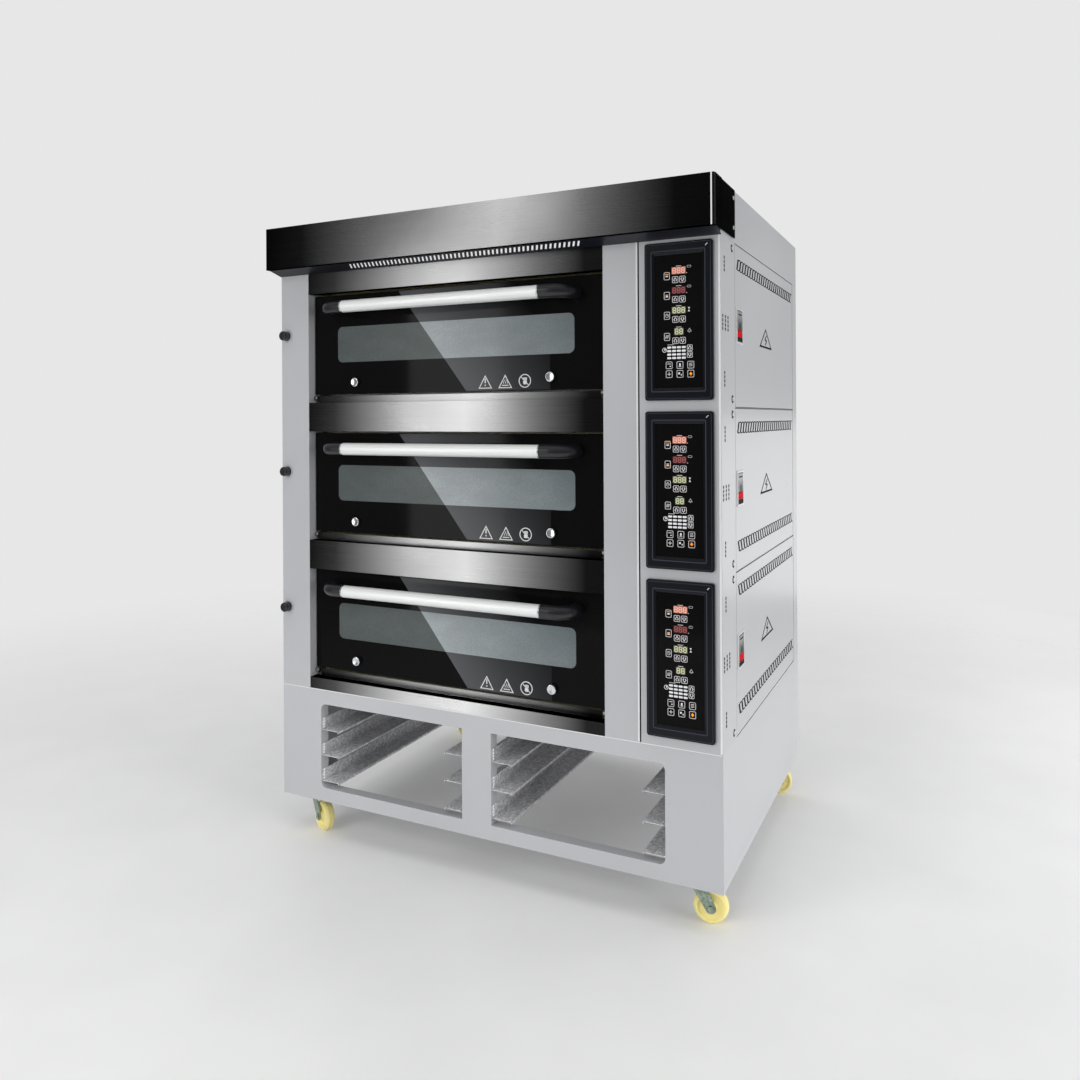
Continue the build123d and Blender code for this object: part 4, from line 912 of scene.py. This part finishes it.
for deck in DECKS:
    low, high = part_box(f"service_door_{deck}")
    sign = side_relief(high.x)
    sign_z = low.z + HAZARD_RISE
    outline = triangle(HAZARD_Y, sign_z, HAZARD_HALF_W, HAZARD_H)
    sign.ring(outline, shrunk(outline, HAZARD_LINE))
    bolt = [(0.010, 0.008), (-0.012, -0.004), (0.012, -0.006), (-0.008, -0.018)]
    for start, end in zip(bolt, bolt[1:]):
        ends = [(HAZARD_Y + u, sign_z + v) for u, v in (start, end)]
        sign.bar(*ends, 0.0045)
    sign.make(f"hazard_sign_{deck}", HAZARD_INK, f"service_door_{deck}", "body_paint")


# ---------------- louvres, vents and seams
LOUVRE_H = 0.025
LOUVRE_W = 0.009
LOUVRE_LEAN = 0.012
LOUVRE_PITCH = 0.026
LOUVRE_COUNT = 26
LOUVRE_START = 0.022
# heights of each door's louvre rows over its lower edge, and which way they lean
LOUVRE_ROWS = {
    "bottom": [(0.055, -1), (0.333, -1)],
    "middle": [(0.055, -1), (0.333, 1)],
    "top": [(0.333, 1)],
}
LOUVRE_LINE = 0.0030
LOUVRE_EDGE = 0.0012
LOUVRE_CELL = 0.0185
# painted shade: near-black, laid over louvre slots, vents, screw rings and the seam gap
PAINTED_SHADE = lit_print("painted_shade", (0.006, 0.006, 0.007), 0.0)
# painted highlight: light paint for thin strips along folded edges
PAINTED_EDGE_HIGHLIGHT = painted_sheet("painted_edge_highlight", (0.86, 0.86, 0.88), 0.3)


def louvre_marks(deck):
    """Painted shade over each louvre slot, a little wider than it, and painted shadow lines beside
    its pressed cell.
    """
    low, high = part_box(f"service_door_{deck}")
    body = f"service_door_{deck}"
    shadows = side_relief(high.x)
    for rise, lean in LOUVRE_ROWS[deck]:
        row_low = low.z + rise - LOUVRE_H / 2
        shift = lean * LOUVRE_LEAN / 2
        for index in range(LOUVRE_COUNT):
            y = low.y + LOUVRE_START + index * LOUVRE_PITCH
            foot, head = (y - shift, row_low), (y + shift, row_low + LOUVRE_H)
            left, right = -LOUVRE_EDGE, LOUVRE_W + LOUVRE_EDGE
            slot = [(foot[0] + left, foot[1]), (foot[0] + right, foot[1])]
            slot += [(head[0] + right, head[1]), (head[0] + left, head[1])]
            shadows.shape(slot)
            width = LOUVRE_CELL - LOUVRE_W / 2
            for u, v in (foot, head):
                shadows.bar((u + LOUVRE_W, v), (u + LOUVRE_W + width, v), LOUVRE_LINE)
    shadows.make(f"louvre_painted_shade_{deck}", PAINTED_SHADE, body, "body_paint")


VENT_RADIUS = 0.0042
VENT_PITCH = 0.0093
VENT_ROW_Y = 0.031
VENT_GROUP_Y = 0.039
VENT_GROUP_PITCH = 0.023
VENT_ROW_RISES = (0.126, -0.130)
VENT_GROUP_RISE = -0.005


def vent_painted_shade():
    """A dot of painted shade over each round vent of the control column's side, wider than the
    vent.
    """
    low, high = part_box("control_column")
    dots = side_relief(high.x)
    steps = [(k - 1.5) * VENT_PITCH for k in range(4)]
    for unit_z in PANEL_Z:
        row_y = low.y + VENT_ROW_Y
        places = [(row_y, unit_z + rise + step) for rise in VENT_ROW_RISES for step in steps]
        for column in (-1, 0, 1):
            y = low.y + VENT_GROUP_Y + column * VENT_GROUP_PITCH
            places += [(y, unit_z + VENT_GROUP_RISE + step) for step in steps]
        for y, z in places:
            dots.shape(circle(y, z, VENT_RADIUS, 12))
    dots.make("vent_painted_shade", PAINTED_SHADE, "root", "body_paint")


SCREW_FROM_FRONT = 0.1
SCREW_SHADOW_R = 0.0092
SCREW_HEAD_R = 0.0044
SCREW_HEIGHTS = (0.429, 0.780, 0.816, 1.158, 1.193, 1.538)


def screw_shadow_rings():
    """A ring of painted shadow round each screw on the right side."""
    low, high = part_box("control_column")
    shadow_rings = side_relief(high.x)
    for z in SCREW_HEIGHTS:
        y = low.y + SCREW_FROM_FRONT
        shadow_rings.ring(circle(y, z, SCREW_SHADOW_R), circle(y, z, SCREW_HEAD_R))
    shadow_rings.make("screw_shadow_rings", PAINTED_SHADE, "root", "body_paint")


def seams():
    """Painted highlights along folded edges, and painted shade in the gap beside the control
    column.
    """
    _, pilaster_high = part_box("right_pilaster")
    column_low, column_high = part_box("control_column")
    stand_low, stand_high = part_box("stand_front_frame")
    edges = front_relief(column_low.y)
    top, base = column_high.z - 0.002, column_low.z + 0.002
    for x, width in ((pilaster_high.x - 0.0025, 0.004), (column_high.x - 0.003, 0.005)):
        edges.bar((x, base), (x, top), width)
    rail_z = stand_high.z - 0.0012
    edges.bar((stand_low.x + 0.001, rail_z), (stand_high.x - 0.001, rail_z), 0.002)
    edges.make("painted_edge_highlights", PAINTED_EDGE_HIGHLIGHT, "root", "body_paint")
    gap = front_relief(column_low.y)
    middle = (pilaster_high.x + column_low.x) / 2
    gap.bar((middle, base), (middle, top), column_low.x - pilaster_high.x)
    gap.make("seam_shadow", PAINTED_SHADE, "root", "body_paint")


# width, height, corner and line of each ring
BEZEL_RINGS = [(0.150, 0.347, 0.006, 0.0012), (0.126, 0.317, 0.004, 0.0022)]
GLINT_U = 0.0665
GLINT_RISE = 0.1645
# painted highlights: bluish lines on the bezel's steps and a white glint
BEZEL_HIGHLIGHT = lit_print("bezel_line", (0.055, 0.060, 0.085), 0.0)
BEZEL_GLINT = lit_print("bezel_glint", (0.75, 0.78, 0.82), 0.0)


def bezel_lines():
    """Painted highlight lines round each control unit, and a painted glint on its upper corner."""
    lines = front_relief(BEZEL_FRONT_Y, PRINT_RISE, PANEL_X)
    glints = front_relief(BEZEL_FRONT_Y, 2 * PRINT_RISE, PANEL_X)
    for unit_z in PANEL_Z:
        for width, height, corner, line in BEZEL_RINGS:
            outer = rounded(0, unit_z, width, height, corner)
            lines.ring(outer, shrunk(outer, line))
        u, v = GLINT_U, unit_z + GLINT_RISE
        glints.bar((u - 0.0035, v - 0.0015), (u + 0.0015, v + 0.003), 0.0016)
    lines.make("bezel_lines", BEZEL_HIGHLIGHT, "root", "bezel")
    glints.make("bezel_glints", BEZEL_GLINT, "root", "bezel")


for deck in DECKS:
    louvre_marks(deck)
vent_painted_shade()
screw_shadow_rings()
seams()
bezel_lines()


# ---------------- locks, rivets and canopy slots
LOCK_FACE_W = 0.048
# the plate ends short of the paddle's head, so that it clears the case when the paddle swings
LOCK_HEAD_GAP = 0.001
LOCK_FOOT_GAP = 0.0015
KEYHOLE_RISE = 0.009
# print for the finger mark and keyhole, and painted shade in the recess below the button
LOCK_MARK_AND_SHADE = lit_print("lock_mark", (0.02, 0.02, 0.02), 0.0)


def lock_plate(name, low_z, high_z):
    """Brushed plate that runs from dark at its foot to light at its head, a painted gradient of
    shade and highlight.
    """
    material = new_finish(name, Metallic=0.3, Roughness=0.35)
    share = spread(material, object_axis(material, "Z"), 0.0, 1.0, low_z, high_z)
    tones = ramp(material, share, [(0.0, 0.06), (0.45, 0.16), (0.8, 0.42), (1.0, 0.30)])
    streaks = noise(material, STEEL_GRAIN_Z, 3)
    grain = ramp(material, streaks, [(0.3, 0.85), (0.7, 1.0)])
    wire(material, Base_Color=multiply(material, tones, grain))
    return material


def lock_details(deck):
    """Face graded by painted light, finger mark and keyhole on a lock paddle, and painted shade in
    the recess below.
    """
    _, paddle_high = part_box(f"lock_paddle_{deck}")
    button_low, button_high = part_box(f"lock_button_{deck}")
    case_low, case_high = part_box(f"lock_housing_{deck}")
    middle_y = (button_low.y + button_high.y) / 2
    head, foot = paddle_high.z - LOCK_HEAD_GAP, button_high.z + LOCK_FOOT_GAP
    face = side_relief(case_high.x)
    span = (foot + head) / 2
    face.shape(rounded(middle_y, span, LOCK_FACE_W, head - foot, 0.002, 2))
    finish = lock_plate(f"lock_plate_{deck}", foot, head)
    face.make(f"lock_plate_{deck}", finish, f"lock_paddle_{deck}", "lock_paddle")
    marks = side_relief(case_high.x, 2 * PRINT_RISE)
    marks.bar((middle_y - 0.016, head - 0.008), (middle_y + 0.016, head - 0.008), 0.0035)
    key_z = foot + KEYHOLE_RISE
    marks.ring(circle(middle_y, key_z, 0.0075), circle(middle_y, key_z, 0.0055))
    marks.bar((middle_y, key_z - 0.003), (middle_y, key_z + 0.003), 0.002)
    marks.make(f"lock_marks_{deck}", LOCK_MARK_AND_SHADE, f"lock_paddle_{deck}", "lock_paddle")
    # painted shade: a dark plate over the recess below the button
    recess = side_relief(case_high.x)
    base, rim = case_low.z + 0.006, button_low.z - 0.0005
    recess.shape(rounded(middle_y, (base + rim) / 2, LOCK_FACE_W, rim - base, 0.001, 2))
    recess.make(f"lock_recess_{deck}", LOCK_MARK_AND_SHADE, f"service_door_{deck}", "lock_case")


RIVET_R = 0.003
RIVET_PITCH = 0.0075
RIVETS_PER_RUNNER = 4
RIVET_FROM_FRONT = 0.010
RIVET_LEVELS = (0.165, 0.235, 0.305)
# the rivets' white glows slightly, painted light so they read in the bay's shade
GLOWING_RIVET_WHITE = lit_print("rivet_white", (0.86, 0.86, 0.87), 0.35)
BAY_EDGES_X = (-0.4905, 0.0435)


def runner_rivets():
    """Small white rivets, glowing slightly as painted light, in the left-hand return of each tray
    bay.
    """
    frame_low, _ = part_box("stand_front_frame")
    rivets = side_relief(0)
    for edge_x in BAY_EDGES_X:
        rivets.origin = Vector((edge_x, 0, 0))
        for level in RIVET_LEVELS:
            for k in range(RIVETS_PER_RUNNER):
                y, z = frame_low.y + RIVET_FROM_FRONT, level + k * RIVET_PITCH
                rivets.shape(circle(y, z, RIVET_R, 10))
    rivets.make("runner_rivets", GLOWING_RIVET_WHITE, "root", "galvanised")


GRILLE_LOW, GRILLE_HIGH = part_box("canopy_grille")
SLOT_MIDDLE_X = -0.0345
SLOT_BAND_HALF = 0.350
BAFFLE_GAP = 0.0035
BAFFLE_MARGIN = 0.005


def slot_backing():
    """A bright plate just above the slotted strip, parallel to it; it glows, painted light that
    makes the slots read bright.
    """
    mesh = bmesh.new()
    front = Vector((0, GRILLE_LOW.y + BAFFLE_MARGIN, GRILLE_HIGH.z + BAFFLE_GAP - 0.001))
    back = Vector((0, GRILLE_HIGH.y - BAFFLE_MARGIN, GRILLE_LOW.z + 0.0015 + BAFFLE_GAP))
    corners = []
    for x in (SLOT_MIDDLE_X - SLOT_BAND_HALF, SLOT_MIDDLE_X + SLOT_BAND_HALF):
        for point in (front, back):
            for lift in (0.0, 0.0012):
                corners.append(mesh.verts.new((x, point.y, point.z + lift)))
    bmesh.ops.convex_hull(mesh, input=corners)
    # painted light: the plate glows in its own streaked tones
    glowing_baffle = new_finish("glowing_baffle_steel", Metallic=0.2, Roughness=0.4, Emission_Strength=0.75)
    streaks = noise(glowing_baffle, STEEL_GRAIN_Y, 3)
    tones = ramp(glowing_baffle, streaks, [(0.3, 0.75), (0.7, 0.95)])
    wire(glowing_baffle, Base_Color=tones, Emission_Color=tones)
    finish_piece(mesh, "slot_glowing_baffle", glowing_baffle, "root")


for deck in DECKS:
    lock_details(deck)
runner_rivets()
slot_backing()


# ---------------- stage, light and camera
FLOOR_RADIUS = 9.0
# distances from the middle where the floor begins and ends its fade
FLOOR_FADE = (1.1, 4.2)
BACKDROP = 0.80
# from straight down (0) to straight up (1)
DOME_TONES = [(0.0, 0.14), (0.5, 0.18), (0.75, 0.34), (1.0, 0.6)]


def stage_floor():
    """A pale floor disc that melts into the backdrop at its rim."""
    mesh = bmesh.new()
    bmesh.ops.create_circle(mesh, cap_ends=True, segments=96, radius=FLOOR_RADIUS)
    material = new_finish("floor", Roughness=0.6, Emission_Strength=0.09, Specular_IOR_Level=0.15)
    cloud = noise(material, (3, 3, 3), 3)
    wire(material, Base_Color=ramp(material, cloud, [(0.3, 0.80), (0.7, 0.84)]))
    coordinates = add_node(material, "ShaderNodeTexCoord").outputs["Object"]
    far = add_node(material, "ShaderNodeVectorMath", {0: coordinates}, operation="LENGTH")
    away = far.outputs["Value"]
    fade = spread(material, away, 0.0, 1.0, *FLOOR_FADE, interpolation_type="SMOOTHSTEP")
    clear = add_node(material, "ShaderNodeBsdfTransparent")
    tree = material.node_tree
    solid = tree.nodes["Principled BSDF"].outputs["BSDF"]
    inputs = {"Fac": fade, 1: solid, 2: clear.outputs["BSDF"]}
    mix = add_node(material, "ShaderNodeMixShader", inputs)
    tree.links.new(mix.outputs["Shader"], tree.nodes["Material Output"].inputs["Surface"])
    floor = link_mesh(mesh, "floor", material)


def studio_world():
    """A light tent: plain backdrop to the eye, a softly graded dome for light and gloss."""
    world = bpy.data.worlds.new("studio")
    bpy.context.scene.world = world
    world.use_nodes = True
    direction = add_node(world, "ShaderNodeTexCoord").outputs["Generated"]
    upward = add_node(world, "ShaderNodeSeparateXYZ", {"Vector": direction}).outputs["Z"]
    dome = ramp(world, spread(world, upward, 0.0, 1.0, -1.0, 1.0), DOME_TONES)
    sight = add_node(world, "ShaderNodeLightPath").outputs["Is Camera Ray"]
    seen = blend(world, sight, dome, tint(BACKDROP))
    tree = world.node_tree
    tree.links.new(seen, tree.nodes["Background"].inputs["Color"])


def softbox(name, place_at, aim, width, height, power, glossy):
    """A rectangular area light at one place that points at another."""
    data = bpy.data.lights.new(name, "AREA")
    data.shape = "RECTANGLE"
    data.size = width
    data.size_y = height
    data.energy = power
    light = link(name, data)
    light.location = place_at
    light.rotation_euler = (Vector(aim) - Vector(place_at)).to_track_quat("-Z", "Y").to_euler()
    light.visible_camera = False
    light.visible_glossy = glossy


CAMERA_AT = Vector((1.1238, -2.3501, 1.1516))
CAMERA_YAW = math.radians(26.23)
CAMERA_ROLL = math.radians(-0.30)
CAMERA_LENS = 29.469
CAMERA_SHIFT_Y = -0.1127
SENSOR_WIDTH = 36.0


def stage_camera():
    """The camera: level, turned left, with a slight roll and a lowered frame."""
    data = bpy.data.cameras.new("camera")
    data.lens = CAMERA_LENS
    data.sensor_width = SENSOR_WIDTH
    data.shift_y = CAMERA_SHIFT_Y
    data.clip_start, data.clip_end = 0.05, 60.0
    camera = link("camera", data)
    level = Matrix.Rotation(CAMERA_YAW, 4, "Z") @ Matrix.Rotation(math.pi / 2, 4, "X")
    roll = Matrix.Rotation(CAMERA_ROLL, 4, "Z")
    camera.matrix_world = Matrix.Translation(CAMERA_AT) @ level @ roll
    bpy.context.scene.camera = camera


CENTRE = (cad_low + cad_high) / 2
LEVEL_AIM = (0, 0, 1.0)
# name, place, aim, width, height, power, and whether it shows in reflections
SOFTBOXES = [
    ("key_left", (-1.84, -3.3, 1.0), LEVEL_AIM, 0.6, 2.3, 15, True),
    ("key_hood", (-1.25, -3.3, 2.6), CENTRE, 0.9, 0.8, 4, True),
    ("front_fill", (-0.6, -3.6, 2.0), CENTRE, 2.4, 2.0, 24, False),
    ("fill_right", (4.6, -1.07, 1.3), LEVEL_AIM, 2.4, 2.0, 78, False),
    ("fill_low", (2.8, 1.5, 0.4), (0.62, 0.1, 0.6), 1.2, 0.7, 19, False),
    ("top", (0.4, -0.6, 4.2), CENTRE, 3.0, 3.0, 34, False),
    ("side_far", (1.9, 3.4, 0.55), LEVEL_AIM, 1.8, 1.2, 8, True),
    ("side_high", (1.9, 3.4, 1.75), LEVEL_AIM, 1.8, 1.1, 1.2, True),
    ("fill_floor", (-0.6, -3.0, 0.28), (0, -0.3, 0.05), 1.6, 0.3, 9, False),
    ("back_left", (-3.0, 2.4, 2.2), CENTRE, 1.8, 2.2, 22, False),
]

stage_floor()
studio_world()
for setup in SOFTBOXES:
    softbox(*setup)
stage_camera()
bpy.context.scene.view_settings.view_transform = "Standard"
bpy.context.scene.view_settings.look = "None"
